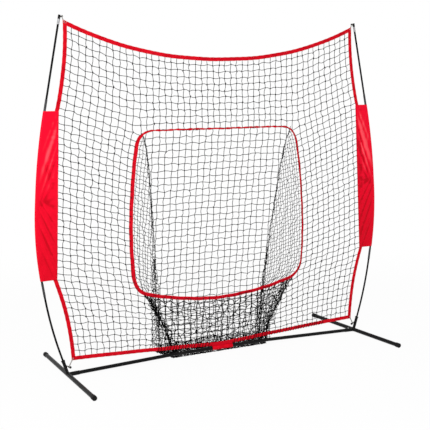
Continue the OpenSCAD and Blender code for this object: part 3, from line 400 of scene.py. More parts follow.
def red_webbing(shade):
    """Woven polyester tape: a rib across it, a herringbone along it and slightly uneven dye."""

    def finish(g):
        along, across = g.weave_uv()
        rib = (along * (2 * math.pi / (1.9 * MM))).sine()
        bone = ((along + across.size() * 0.9) * (2 * math.pi / (3.4 * MM))).sine()
        yarn = 0.5 + 0.28 * rib + 0.22 * bone
        dye = g.clouds(g.place(), 26, 4)
        deep = tuple(shade[k] * 0.72 for k in range(3))
        light = tuple(min(1.0, shade[k] * 1.12 + 0.004) for k in range(3))
        return {
            "Base Color": g.mix(0.25 * yarn + 0.75 * dye.step(0.25, 0.75), deep, light),
            "Roughness": 0.72 + 0.16 * yarn,
            "Normal": g.bump(yarn, 0.22 * MM),
            "Specular IOR Level": 0.05,
        }

    return finish


def red_cloth(g):
    """Tightly woven nylon with a plain weave, under painted light: a painted highlight on the
    ridges of its upper folds, painted shade in the valleys, and painted shade deepening towards the
    foot."""
    along, across = g.weave_uv()
    turn = 2 * math.pi / (0.9 * MM)
    weave = 0.5 + 0.5 * (along * turn).sine() * (across * turn).sine()
    place = g.place()
    rub = g.clouds(place, 18, 4).step(0.3, 0.7)
    height = g.add("ShaderNodeSeparateXYZ", sockets={0: place}, out=2)
    # Painted shade: the cloth is painted darker towards the foot and paler higher up; the weave and
    # rub are its own tone
    high = height.step(0.55, 1.35)
    # The fold map carries each fold's painted light, worked out in sleeve_rings
    fold = g.add("ShaderNodeSeparateXYZ",
                 sockets={0: g.add("ShaderNodeUVMap", {"uv_map": "fold"})})
    body = g.mix(0.1 * weave + 0.2 * rub + 0.7 * high, (0.66, 0.0003, 0.012), (0.90, 0.002, 0.026))
    # Painted shade: the fold valleys are painted darker
    body = g.mix(0.9 * (0 - fold).step(0.02, 0.55), body, (0.50, 0.0002, 0.008))
    return {
        # Painted highlight: the ridges of the upper folds are painted pale
        "Base Color": g.mix(height.step(1.0, 1.3) * fold.step(0.1, 1.1), body, (1.0, 0.075, 0.10)),
        "Roughness": 0.4 + 0.12 * weave,
        "Normal": g.bump(weave, 0.10 * MM),
        "Specular IOR Level": 0.07,
    }


def black_twine(tone):
    """Knotted black polyester twine: fine strands over a near-black body, paler where dry."""

    def finish(g):
        place = g.place()
        lay = g.clouds(place, 1600, 2)
        fade = g.clouds(place, 12, 3).step(0.35, 0.75)
        dark = tuple(tone * k for k in (1, 1, 1.04))
        pale = tuple(tone * k for k in (2.1, 2.1, 2.2))
        return {
            "Base Color": g.mix(0.5 * fade + 0.5 * lay, dark, pale),
            "Roughness": 0.75 + 0.2 * lay,
            "Normal": g.bump(lay, 0.12 * MM),
            "Specular IOR Level": 0.04,
        }

    return finish


def red_thread(g):
    """Twisted sewing thread, a little paler than the webbing under it."""
    lay = g.clouds(g.place(), 4000, 1)
    return {
        "Base Color": g.mix(lay, (0.50, 0.001, 0.010), (0.74, 0.004, 0.022)),
        "Specular IOR Level": 0.1,
        "Roughness": 0.6 + 0.2 * lay,
        "Normal": g.bump(lay, 0.03 * MM),
    }


def braided_elastic(g):
    """A braided pale grey cord: two sets of yarns that cross along its length."""
    along, across = g.weave_uv()
    turn = 2 * math.pi / (1.8 * MM)
    braid = ((along + across) * turn).sine() * ((along - across) * turn).sine()
    lint = g.clouds(g.place(), 500, 2)
    return {
        "Base Color": g.mix(0.5 + 0.5 * braid, (0.24, 0.23, 0.215), (0.52, 0.50, 0.47)),
        "Roughness": 0.6 + 0.2 * lint,
        "Normal": g.bump(0.5 + 0.5 * braid, 0.25 * MM),
        "Specular IOR Level": 0.1,
    }


def hook_tape(g):
    """The strap's tab: red webbing closed over with short hooks."""
    place = g.place()
    hooks = g.clouds(place, 1100, 1).step(0.45, 0.6)
    wear = g.clouds(place, 40, 3)
    return {
        "Base Color": g.mix(0.6 * hooks + 0.4 * wear, (0.56, 0.001, 0.010), (0.78, 0.003, 0.020)),
        "Roughness": 0.6 + 0.3 * hooks,
        "Normal": g.bump(hooks, 0.4 * MM),
        "Specular IOR Level": 0.06,
    }


def weld_bead(g):
    """A coated weld: lapped ripples under the same black coat as the tubes."""
    place = g.place()
    ripple = g.clouds(place, 420, 3)
    return {
        "Base Color": g.mix(ripple, (0.003, 0.003, 0.0034), (0.012, 0.0115, 0.011)),
        "Roughness": 0.4 + 0.25 * ripple,
        "Normal": g.bump(ripple, 0.5 * MM),
        "Specular IOR Level": 0.16,
    }


COAT = material("black_powder_coat", powder_coat)
PLASTIC = material("black_moulded_plastic", moulded_plastic)
ZINC = material("zinc_plated_steel", zinc_plate)
ROD = material("black_glass_fibre", glass_fibre)
FERRULE = material("dulled_steel_ferrule", dull_ferrule)
WEBBING = material("red_hem_webbing", red_webbing((0.66, 0.0008, 0.011)))
BINDING = material("red_opening_binding", red_webbing((0.62, 0.0008, 0.012)))
STRAPPING = material("red_strap_webbing", red_webbing((0.76, 0.001, 0.014)))
CLOTH = material("red_sleeve_cloth", red_cloth)
NET_TWINE = material("black_net_twine", black_twine(0.005))
BAG_TWINE = material("black_bag_twine", black_twine(0.004))
THREAD = material("red_sewing_thread", red_thread)
ELASTIC = material("grey_braided_elastic", braided_elastic)
HOOKS = material("red_hook_tape", hook_tape)
WELD = material("coated_weld_bead", weld_bead)


# ---- meshes ---------------------------------------------------------------------
def add_object(name, mesh, *finishes):
    """Links a finished mesh as an object at the origin."""
    for finish in finishes:
        mesh.materials.append(finish)
    made = bpy.data.objects.new(name, mesh)
    bpy.context.scene.collection.objects.link(made)
    return made


def loft(rings, closed=False, bm=None, finish=0):
    """A skin over rings of points, with metres along and around as its UV.

    The ends are capped, or the last ring joins the first where closed is true. Given a bmesh,
    it adds to that one."""
    bm = bm or bmesh.new()
    uv = bm.loops.layers.uv.get("weave") or bm.loops.layers.uv.new("weave")
    rings = np.asarray(rings, float)
    n, m = rings.shape[:2]
    verts = [[bm.verts.new(p) for p in ring] for ring in rings]
    steps = np.linalg.norm(np.diff(rings.mean(1), axis=0, append=rings[:1].mean(1)), axis=1)
    along = np.concatenate([[0], np.cumsum(steps)])
    turns = np.linalg.norm(np.roll(rings[0], -1, 0) - rings[0], axis=1)
    around = np.concatenate([[0], np.cumsum(turns)]) - turns.sum() / 2
    faces = []
    for i in range(n if closed else n - 1):
        for k in range(m):
            corners = ((i, k), (i, k + 1), (i + 1, k + 1), (i + 1, k))
            face = bm.faces.new([verts[a % n][b % m] for a, b in corners])
            for loop, (a, b) in zip(face.loops, corners):
                loop[uv].uv = (along[a], around[b])
            faces.append(face)
    if not closed:
        for i, ring in ((0, verts[0]), (n - 1, verts[-1])):
            face = bm.faces.new(ring)
            for loop in face.loops:
                loop[uv].uv = (along[i], 0)
            faces.append(face)
    for face in faces:
        face.smooth, face.material_index = True, finish
    bmesh.ops.recalc_face_normals(bm, faces=faces)
    return bm


def finished(name, bm, *finishes):
    """The object that a bmesh makes."""
    mesh = bpy.data.meshes.new(name)
    bm.to_mesh(mesh)
    bm.free()
    return add_object(name, mesh, *finishes)


def mount(piece, body="frame"):
    """Puts a piece on its body."""
    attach(piece, body)


def settle(piece):
    """Makes the shape that an object's modifiers give it its plain mesh."""
    graph = bpy.context.evaluated_depsgraph_get()
    mesh = bpy.data.meshes.new_from_object(piece.evaluated_get(graph))
    piece.modifiers.clear()
    piece.data = mesh


def directions(path, closed=False):
    """Unit tangents of a path."""
    path = np.asarray(path, float)
    ends = (np.roll(path, -1, 0) - np.roll(path, 1, 0)) if closed else np.gradient(path, axis=0)
    return ends / np.linalg.norm(ends, axis=1, keepdims=True)


def carry(path, sections, inward=1, closed=False):
    """Rings of sections, (inwards, along Y), along a path of (x, z) in the net's plane."""
    path = np.asarray(path, float)
    t = directions(path, closed)
    inwards = inward * np.stack([t[:, 1], -t[:, 0]], 1)
    sections = np.broadcast_to(sections, (len(path), *np.shape(sections)[-2:]))
    a, b = sections[..., 0], sections[..., 1]
    return np.stack(
        [path[:, :1] + a * inwards[:, :1], b, path[:, 1:] + a * inwards[:, 1:]], axis=-1
    )


def tube_rings(path, radius, sides=8, closed=False):
    """Rings round a path in space, for a cord or a bead; radius may vary along it."""
    path = np.asarray(path, float)
    t = directions(path, closed)
    side = np.cross(t, (0.3, 1.0, 0.2))
    side /= np.linalg.norm(side, axis=1, keepdims=True)
    over = np.cross(t, side)
    radius = np.broadcast_to(radius, len(path))[:, None, None]
    turn = np.linspace(0, 2 * math.pi, sides, endpoint=False)
    ring = side[:, None] * np.cos(turn)[:, None] + over[:, None] * np.sin(turn)[:, None]
    return path[:, None] + radius * ring


def lengths(path):
    """Distance along a path to each of its points."""
    steps = np.linalg.norm(np.diff(np.asarray(path, float), axis=0), axis=1)
    return np.concatenate([[0], np.cumsum(steps)])


# ---- geometry node trees --------------------------------------------------------
def new_tree(name, inputs):
    """A Geometry Nodes tree with named inputs: its graph, its inputs' wires and its output."""
    tree = bpy.data.node_groups.new(name, "GeometryNodeTree")
    for socket, kind in inputs.items():
        tree.interface.new_socket(socket, in_out="INPUT", socket_type="NodeSocket" + kind)
    tree.interface.new_socket("Piece", in_out="OUTPUT", socket_type="NodeSocketGeometry")
    graph = Graph(tree)
    start, end = tree.nodes.new("NodeGroupInput"), tree.nodes.new("NodeGroupOutput")
    given = {socket: Wire(graph, start.outputs[socket]) for socket in inputs}

    def close(piece, finish):
        """Ends the tree in one mesh with its material."""
        piece = graph.add("GeometryNodeRealizeInstances", sockets={"Geometry": piece})
        piece = graph.add(
            "GeometryNodeSetMaterial", sockets={"Geometry": piece, "Material": finish}
        )
        graph.plug(end.inputs["Piece"], piece)
        return tree

    return graph, given, close


def netting_tree():
    """Twine along every edge of a guide mesh, with a knot at each of its points."""
    g, given, close = new_tree(
        "knotted_netting",
        {"Guide": "Geometry", "Twine Radius": "Float", "Knot Radius": "Float",
         "Slack": "Float", "Twine": "Material"},
    )
    strands = g.add("GeometryNodeMeshToCurve", sockets={"Mesh": given["Guide"]})
    strands = g.add("GeometryNodeResampleCurve", sockets={"Curve": strands, "Count": 3})
    share = g.add("GeometryNodeSplineParameter", out="Factor")
    middle = 4 * share * (1 - share)
    sway = g.add("FunctionNodeRandomValue", {"data_type": "FLOAT_VECTOR"},
                 {0: (-1, -1, -1), 1: (1, 1, 1), 8: 11})
    sway = g.add("ShaderNodeVectorMath", {"operation": "SCALE"},
                 {0: sway, "Scale": middle * given["Slack"]})
    strands = g.add("GeometryNodeSetPosition", sockets={"Geometry": strands, "Offset": sway})
    profile = g.add("GeometryNodeCurvePrimitiveCircle",
                    sockets={"Resolution": 5, "Radius": given["Twine Radius"]})
    twine = g.add("GeometryNodeCurveToMesh",
                  sockets={"Curve": strands, "Profile Curve": profile, "Fill Caps": True})
    ball = g.add("GeometryNodeMeshIcoSphere",
                 sockets={"Radius": given["Knot Radius"], "Subdivisions": 1})
    turn = g.add("FunctionNodeRandomValue", {"data_type": "FLOAT_VECTOR"},
                 {0: (-0.5, -0.5, -3), 1: (0.5, 0.5, 3), 8: 23})
    swell = g.add("FunctionNodeRandomValue", {"data_type": "FLOAT_VECTOR"},
                  {0: (0.75, 0.75, 0.9), 1: (1.2, 1.2, 2.4), 8: 31})
    knots = g.add("GeometryNodeInstanceOnPoints",
                  sockets={"Points": given["Guide"], "Instance": ball,
                           "Rotation": turn, "Scale": swell})
    both = g.tree.nodes.new("GeometryNodeJoinGeometry")
    for part in (twine, knots):
        g.tree.links.new(part.socket, both.inputs[0])
    smooth = g.add("GeometryNodeSetShadeSmooth", sockets={"Geometry": Wire(g, both.outputs[0])})
    return close(smooth, given["Twine"])


def stitch_tree():
    """Short stitches of thread laid end to end along every line of a guide mesh."""
    g, given, close = new_tree(
        "row_of_stitches",
        {"Guide": "Geometry", "Pitch": "Float", "Length": "Float", "Thickness": "Float",
         "Thread": "Material"},
    )
    lines = g.add("GeometryNodeMeshToCurve", sockets={"Mesh": given["Guide"]})
    points = g.tree.nodes.new("GeometryNodeCurveToPoints")
    points.mode = "LENGTH"
    g.plug(points.inputs["Curve"], lines)
    g.plug(points.inputs["Length"], given["Pitch"])
    bead = g.add("GeometryNodeMeshIcoSphere", sockets={"Radius": 0.5, "Subdivisions": 1})
    scale = g.add("ShaderNodeCombineXYZ",
                  sockets={0: given["Thickness"], 1: given["Thickness"], 2: given["Length"]})
    stitches = g.add("GeometryNodeInstanceOnPoints", sockets={
        "Points": Wire(g, points.outputs["Points"]), "Instance": bead,
        "Rotation": Wire(g, points.outputs["Rotation"]), "Scale": scale})
    smooth = g.add("GeometryNodeSetShadeSmooth", sockets={"Geometry": stitches})
    return close(smooth, given["Thread"])


NETTING, STITCHES = netting_tree(), stitch_tree()


def grow(name, tree, points, edges, **values):
    """The plain object that a tree makes over a guide of points and edges."""
    guide = bpy.data.meshes.new(name + "_guide")
    guide.from_pydata([tuple(p) for p in points], [tuple(e) for e in edges], [])
    piece = add_object(name, guide)
    modifier = piece.modifiers.new("grow", "NODES")
    modifier.node_group = tree
    for item in tree.interface.items_tree:
        if item.in_out == "INPUT" and item.name.replace(" ", "_") in values:
            modifier[item.identifier] = values[item.name.replace(" ", "_")]
    settle(piece)
    piece.data.name = name
    bpy.data.meshes.remove(guide)
    return piece


class Guide:
    """Points and edges that netting or stitches follow."""

    def __init__(self):
        self.points, self.edges = [], []

    def grid(self, knots):
        """Adds a grid of knots, (rows, columns, 3), with an edge between neighbours.

        A knot whose place is not a number is left out."""
        number = np.full(knots.shape[:2], -1)
        for j, i in np.argwhere(~np.isnan(knots[..., 0])):
            number[j, i] = len(self.points)
            self.points.append(tuple(knots[j, i]))
        for a, b in ((number[:, :-1], number[:, 1:]), (number[:-1], number[1:])):
            both = (a >= 0) & (b >= 0)
            self.edges += list(zip(a[both].tolist(), b[both].tolist()))

    def line(self, path):
        """Adds one polyline."""
        first = len(self.points)
        self.points += [tuple(p) for p in path]
        self.edges += [(first + k, first + k + 1) for k in range(len(path) - 1)]

    def netting(self, name, twine, knot, slack, finish):
        """The netting that follows this guide."""
        return grow(name, NETTING, self.points, self.edges, Twine_Radius=twine,
                    Knot_Radius=knot, Slack=slack, Twine=finish)

    def stitches(self, name, pitch=6 * MM, length=4.4 * MM, thickness=0.9 * MM):
        """The rows of stitches that follow this guide."""
        return grow(name, STITCHES, self.points, self.edges, Pitch=pitch, Length=length,
                    Thickness=thickness, Thread=THREAD)


# ---- the front net --------------------------------------------------------------
SIDE_COLS, OPEN_COLS = 11, 26
LOW_ROWS, MID_ROWS, HIGH_ROWS = 11, 25, 11
ROW_LOW_Z, ROW_HIGH_Z = 0.600, 1.610
LAST_OPEN_COL, LAST_MID_ROW = SIDE_COLS + OPEN_COLS, LOW_ROWS + MID_ROWS
NET_TWINE_R, NET_KNOT_R, NET_SLACK = 1.9 * MM, 3.9 * MM, 3.8 * MM
NET_SPREAD, NET_SPREAD_LIMIT, NET_DEPTH_SHARE = 1.5 * MM, 3.5 * MM, 1.4
NET_ZIGZAG_X, NET_ZIGZAG_Z = 1.8 * MM, 3.0 * MM
SETTLING_ROUNDS, SETTLING_SHARE = 14, 0.6
# Half thickness of the netting's edge inside a hem, and how fast it grows beside the hem
EDGE_HALF_THICK, EDGE_GROWTH, EDGE_REACH = 1.1 * MM, 0.05, 2.5 * HEM_HALF
rng = np.random.default_rng(7)


def coons(low, high, near, far, u, v):
    """A point of the patch that fills four edges, each a function of 0 to 1."""
    between = lerp(low(u), high(u), v) + lerp(near(v), far(v), u)
    return between - lerp(lerp(low(0), low(1), u), lerp(high(0), high(1), u), v)


def line(a, b):
    """The straight line from a to b as a function of 0 to 1."""
    return lambda t: lerp(np.array(a), np.array(b), t)


def hem_part(z0, z1):
    """The side hem's centre line between two heights."""
    return lambda t: np.array((side_x(lerp(z0, z1, t)), lerp(z0, z1, t)))


def top_point(x):
    """The top hem's centre line at a distance from the middle."""
    return np.array((x, top_z(x)))


def bottom_point(x):
    """The bottom hem's centre line at a distance from the middle."""
    return np.array((x, bottom_z(x)))


HIGH_ROW = line(RING_CREST, (side_x(ROW_HIGH_Z), ROW_HIGH_Z))
LOW_ROW = line(RING_HEEL, (side_x(ROW_LOW_Z), ROW_LOW_Z))


def beside(u, v):
    """The netting between the opening and the side hem."""

    def ring(t):
        z = lerp(RING_HEEL[1], RING_CREST[1], t)
        return np.array((ring_x(z), z))

    return coons(LOW_ROW, HIGH_ROW, ring, hem_part(ROW_LOW_Z, ROW_HIGH_Z), u, v)


def upper_corner(u, v):
    """The netting above the crest of the opening's corner."""
    return coons(HIGH_ROW, lambda t: top_point(lerp(RING_CREST[0], TOP_X, t)),
                 line(RING_CREST, top_point(RING_CREST[0])), hem_part(ROW_HIGH_Z, TOP_Z), u, v)


def lower_corner(u, v):
    """The netting below the heel of the opening's corner."""
    return coons(lambda t: bottom_point(lerp(RING_HEEL[0], LOW_X, t)), LOW_ROW,
                 line(bottom_point(RING_HEEL[0]), RING_HEEL), hem_part(LOW_Z, ROW_LOW_Z), u, v)


def knot_at(i, j):
    """Place of the knot in column i and row j, or None inside the opening."""
    if SIDE_COLS < i < LAST_OPEN_COL:
        w = 2 * (i - SIDE_COLS) / OPEN_COLS - 1
        if j <= LOW_ROWS:
            x = w * RING_HEEL[0]
            return lerp(bottom_point(x), np.array((x, ring_bottom_at(x))), j / LOW_ROWS)
        if j >= LAST_MID_ROW:
            x = w * RING_CREST[0]
            share = (j - LAST_MID_ROW) / HIGH_ROWS
            return lerp(np.array((x, ring_top_at(x))), top_point(x), share)
        return None
    u = (SIDE_COLS - i if i <= SIDE_COLS else i - LAST_OPEN_COL) / SIDE_COLS
    if j <= LOW_ROWS:
        point = lower_corner(u, j / LOW_ROWS)
    elif j <= LAST_MID_ROW:
        point = beside(u, (j - LOW_ROWS) / MID_ROWS)
    else:
        point = upper_corner(u, (j - LAST_MID_ROW) / HIGH_ROWS)
    return point * ((-1, 1) if i <= SIDE_COLS else (1, 1))


def wander(count, spread, limit):
    """Seeded offsets that stay within a limit."""
    return np.clip(rng.normal(0, spread, (count, 3)), -limit, limit)


def relaxed(places, free):
    """Lets the free knots of a grid settle between their neighbours."""
    for _ in range(SETTLING_ROUNDS):
        around = (np.roll(places, 1, 0) + np.roll(places, -1, 0)
                  + np.roll(places, 1, 1) + np.roll(places, -1, 1)) / 4
        places = np.where(free[..., None], lerp(places, around, SETTLING_SHARE), places)
    return places


def front_netting():
    """The net between the hems and the opening, knotted a little unevenly."""
    cols, rows = 2 * SIDE_COLS + OPEN_COLS, LAST_MID_ROW + HIGH_ROWS
    places = np.full((rows + 1, cols + 1, 2), np.nan)
    free = np.zeros((rows + 1, cols + 1), bool)
    for j in range(rows + 1):
        for i in range(cols + 1):
            place = knot_at(i, j)
            if place is not None:
                places[j, i] = place
                edge = i in (0, cols) or j in (0, rows)
                on_ring = SIDE_COLS <= i <= LAST_OPEN_COL and LOW_ROWS <= j <= LAST_MID_ROW
                free[j, i] = not edge and not on_ring
    places = relaxed(places, free)
    offsets = wander(places.shape[0] * places.shape[1], NET_SPREAD, NET_SPREAD_LIMIT)
    offsets = offsets.reshape(*places.shape[:2], 3) * (1, NET_DEPTH_SHARE, 1)
    zig = (-1.0) ** np.add.outer(np.arange(rows + 1), np.arange(cols + 1))
    offsets += zig[..., None] * (NET_ZIGZAG_X, 0, NET_ZIGZAG_Z)
    flat = np.stack([places[..., 0], np.zeros_like(zig), places[..., 1]], -1)
    guide = Guide()
    guide.grid(flat + offsets * free[..., None])
    net = guide.netting("front_netting", NET_TWINE_R, NET_KNOT_R, NET_SLACK, NET_TWINE)
    press_into_hems(net)
    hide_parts("net_top", "net_bottom", "net_left", "net_right")
    return net


def press_into_hems(net):
    """Presses the netting flat between the hems' two folds, and less so just beside them."""
    for vert in net.data.vertices:
        x, _, z = vert.co
        near = min(abs(z - top_z(x)), abs(z - bottom_z(x)), abs(abs(x) - side_x(z)))
        if near < EDGE_REACH:
            limit = EDGE_HALF_THICK + EDGE_GROWTH * near
            vert.co.y = max(-limit, min(limit, vert.co.y))


# ---- the ball bag ---------------------------------------------------------------
# Radius of each panel's twine and of its knots, and how far its strands hang off a straight line
BACK_YARN = (2.0 * MM, 3.2 * MM, 4.2 * MM)
FRONT_YARN = (2.3 * MM, 3.7 * MM, 6.0 * MM)
SIDE_YARN = (1.5 * MM, 2.5 * MM, 3.0 * MM)
FLOOR_YARN = (1.5 * MM, 2.1 * MM, 1.6 * MM)
SEAM_YARN = (1.6 * MM, 2.6 * MM, 2.0 * MM)
# How far each panel's knots stand off their places, in the panel and out of it: one standard
# deviation, kept within UNEVEN_LIMIT of them, with every other knot lifted and the rest lowered
UNEVEN_LIMIT, UNEVEN_LIFT = 2.2, 1.6
BACK_UNEVEN, FRONT_UNEVEN = (1.8 * MM, 2.5 * MM), (5.5 * MM, 5 * MM)
SIDE_UNEVEN, FLOOR_UNEVEN = (2.4 * MM, 2.5 * MM), (2.6 * MM, 5 * MM)

BACK_MESH, BACK_COLS, BACK_ROWS = 46 * MM, 24, 34
BACK_BELLY, BACK_CREASE = 0.014, 5 * MM
FRONT_COLS, FRONT_ROWS = 25, 11
FRONT_CREASE, FRONT_DRAWN_IN = 9 * MM, 0.86
SIDE_MESHES = ((-1, 27 * MM), (1, 15 * MM))
SIDE_HIGH_ROWS, SIDE_LOW_ROWS = 38, 19
SIDE_HEEL_Z, SIDE_SKEW, SIDE_FOLD, SIDE_FOLDS = 0.440, 0.055, 6 * MM, 3.5
FLOOR_COLS, FLOOR_ROWS, FLOOR_LAYERS, FLOOR_LEAST_Z = 32, 9, 2, 5.2 * MM
# The upper layer of the floor starts this share of the way back, and lies this much higher
FLOOR_UPPER_START, FLOOR_UPPER_LIFT = 0.45, 6 * MM
# Height of the floor's lumps in mm, in front and what is added at the back
FLOOR_LUMPS, FLOOR_LUMPS_MORE = 4, 16
# A column of knots ends where it is more than this share of a mesh past the seam
PAST_SEAM = 0.55


def back_half(z):
    """Half width of the bag's back, which flares to the opening's corners at the top."""
    share = max(0, (z - BAG_Z) / (BAG_TOP_Z - BAG_Z))
    return lerp(BAG_FOOT_X, BAG_TOP_X, share**BAG_FLARE) + BAG_FLICK * share**BAG_FLICK_POWER


def back_y(z):
    """How far behind the net the bag's back hangs."""
    return lerp(BAG_FOOT_Y, BAG_TOP_Y, (z - BAG_Z) / (BAG_TOP_Z - BAG_Z))


def front_half(z):
    """Half width of the bag's front, which narrows from the opening's hips to the ground."""
    share = min(1, max(0, (z - BAG_Z) / (RING_HIP_Z - BAG_Z)))
    return lerp(BAG_FRONT_X, BAG_LIP_X, share ** BAG_FRONT_FLARE)


def front_y(z):
    """How far behind the net the bag's front hangs."""
    return lerp(BAG_FRONT_Y, BAG_TOP_Y, min(1, (z - BAG_Z) / (RING_HIP_Z - BAG_Z)))


def uneven(knots, spread, depth):
    """Moves the inner knots of a grid a little, in its plane by spread and in depth."""
    rows, cols = knots.shape[:2]
    offset = wander(rows * cols, 1.0, UNEVEN_LIMIT).reshape(rows, cols, 3)
    offset = offset * (spread, depth, spread)
    zigzag = (-1.0) ** np.add.outer(np.arange(rows), np.arange(cols))
    offset[..., 2] += UNEVEN_LIFT * spread * zigzag
    offset[0] = offset[-1] = 0
    offset[:, 0] = offset[:, -1] = 0
    return knots + offset


def bag_back():
    """The back hangs from the opening's top edge to the ground and bellies out a little.

    Its columns keep their distance, so the outer ones run into the seams on their way down."""
    knots = np.zeros((BACK_ROWS + 1, BACK_COLS + 1, 3))
    for j in range(BACK_ROWS + 1):
        v = j / BACK_ROWS
        for i in range(BACK_COLS + 1):
            x = (i - BACK_COLS / 2) * BACK_MESH
            high = ring_top_at(min(abs(x), RING_CREST[0])) - 3 * MM
            z = lerp(BAG_KNOT_Z, high, v)
            half = back_half(z)
            if abs(x) > half + PAST_SEAM * BACK_MESH:
                knots[j, i] = np.nan
                continue
            x = max(-half, min(half, x))
            out = BACK_BELLY * math.sin(math.pi * v) * (1 - (x / half) ** 2)
            crease = BACK_CREASE * (1 - v) ** 2 * noise.noise(Vector((30 * x, 3 * v, 0.5)))
            knots[j, i] = (x, max(back_y(z), BAG_TOP_Y) + out + crease, z)
    guide = Guide()
    guide.grid(uneven(knots, *BACK_UNEVEN))
    net = guide.netting("bag_back_netting", *BACK_YARN, BAG_TWINE)
    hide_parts("bag_back")
    return net


def bag_front():
    """The front hangs from the opening's lower edge to the ground, slack and creased."""
    knots = np.zeros((FRONT_ROWS + 1, FRONT_COLS + 1, 3))
    for i in range(FRONT_COLS + 1):
        share = 2 * i / FRONT_COLS - 1
        for j in range(FRONT_ROWS + 1):
            x = share * BAG_LIP_X
            high = ring_low_at(min(abs(x), RING_HIP_X)) - 1.2 * MM
            z = lerp(BAG_KNOT_Z, high, j / FRONT_ROWS)
            half = front_half(z)
            x = max(-half, min(half, x * lerp(FRONT_DRAWN_IN, 1, j / FRONT_ROWS)))
            crease = FRONT_CREASE * noise.noise(Vector((20 * x, 9 * z, 4.0)))
            knots[j, i] = (x, front_y(z) + abs(crease), z)
    guide = Guide()
    guide.grid(uneven(knots, *FRONT_UNEVEN))
    net = guide.netting("bag_front_netting", *FRONT_YARN, BAG_TWINE)
    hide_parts("bag_front")
    return net


def side_edges():
    """The front and the back edge of the bag's right side, row by row from the top."""
    top = RING_CREST[1] - 8 * MM
    front, back = [], []
    for k in range(SIDE_HIGH_ROWS + 1):
        z = lerp(top, RING_HEEL[1], k / SIDE_HIGH_ROWS)
        front.append((ring_x(z) - 3 * MM, 3.5 * MM, z))
        back.append(lerp(top, SIDE_HEEL_Z, k / SIDE_HIGH_ROWS))
    for k in range(1, SIDE_LOW_ROWS + 1):
        z = lerp(RING_HIP_Z + 8 * MM, BAG_KNOT_Z, k / SIDE_LOW_ROWS)
        front.append((front_half(z), front_y(z), z))
        back.append(lerp(SIDE_HEEL_Z, BAG_KNOT_Z, k / SIDE_LOW_ROWS))
    shares = np.linspace(0, 1, len(back))
    back = [max(BAG_KNOT_Z, z - SIDE_SKEW * math.sin(math.pi * s)) for z, s in zip(back, shares)]
    return np.array(front), np.array([(back_half(z), back_y(z), z) for z in back])


def bag_sides():
    """The sides are finer netting, pulled askew and gathered towards the ground.

    Their columns start from the opening and run into the seam one after the other."""
    guide = Guide()
    front, back = side_edges()
    wide = np.linalg.norm((back - front)[:, :2], axis=1)
    for side, mesh in SIDE_MESHES:
        share = np.arange(math.ceil(wide.max() / mesh) + 1)[None] * (mesh / wide)[:, None]
        share[share > 1 + PAST_SEAM * (mesh / wide)[:, None]] = np.nan
        share = np.minimum(1, share)[..., None]
        knots = front[:, None] + (back - front)[:, None] * share
        deep = np.linspace(0, 1, len(front))[:, None]
        fold = SIDE_FOLD * np.sin(2 * SIDE_FOLDS * np.pi * share[..., 0]) * deep
        knots = knots + np.stack([fold, 0.5 * fold, 0 * fold], -1)
        guide.grid(uneven(knots, *SIDE_UNEVEN) * (side, 1, 1))
    net = guide.netting("bag_side_netting", *SIDE_YARN, BAG_TWINE)
    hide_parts("bag_side_left", "bag_side_right")
    return net


def bag_floor():
    """The bag's bottom lies on the ground, open in front and crumpled towards the back."""
    guide = Guide()
    for layer in range(FLOOR_LAYERS):
        knots = np.zeros((FLOOR_ROWS + 1, FLOOR_COLS + 1, 3))
        for j in range(FLOOR_ROWS + 1):
            v = lerp(FLOOR_UPPER_START * layer, 1.0, j / FLOOR_ROWS)
            for i in range(FLOOR_COLS + 1):
                w = 2 * i / FLOOR_COLS - 1
                lump = abs(noise.noise(Vector((11 * w, 3 * v, 7.0 + layer))))
                z = 3 * MM + layer * FLOOR_UPPER_LIFT
                z += (FLOOR_LUMPS + FLOOR_LUMPS_MORE * v) * MM * lump
                x = w * lerp(BAG_FRONT_X, BAG_FOOT_X, v)
                knots[j, i] = (x, lerp(BAG_FRONT_Y, BAG_FOOT_Y, v), z)
        guide.grid(uneven(knots, *FLOOR_UNEVEN))
    guide.points = [(x, y, max(z, FLOOR_LEAST_Z)) for x, y, z in guide.points]
    net = guide.netting("bag_floor_netting", *FLOOR_YARN, BAG_TWINE)
    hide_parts("bag_floor")
    return net


GATHER_LOOSE_X, GATHER_LOOSE_Z, GATHER_LEAST_Z = 0.2, 0.45, 6 * MM


def gather(guide, path, widths, across, depth_share=0.5, step=18 * MM, cols=5):
    """A gathered seam: netting drawn together along a path, wider where it is slack."""
    path = np.asarray(path, float)
    total = lengths(path)
    count = max(3, int(total[-1] / step))
    at = np.linspace(0, total[-1], count)
    centre = np.stack([np.interp(at, total, path[:, k]) for k in range(3)], 1)
    width = np.interp(at / total[-1], np.linspace(0, 1, len(widths)), widths)
    across = np.asarray(across, float)
    share = np.linspace(-0.5, 0.5, cols)
    knots = centre[:, None] + width[:, None, None] * share[None, :, None] * across
    loose = rng.uniform(-1, 1, knots.shape) * width[:, None, None]
    loose *= (GATHER_LOOSE_X, depth_share, 0.0)
    loose[..., 2] = rng.uniform(-1, 1, knots.shape[:2]) * GATHER_LOOSE_Z * step
    knots = knots + loose
    knots[..., 2] = np.maximum(knots[..., 2], GATHER_LEAST_Z)
    guide.grid(knots)


# Points along a rear seam, and the first of them at which it widens towards the ground
REAR_POINTS, REAR_SPREADS = 60, 33


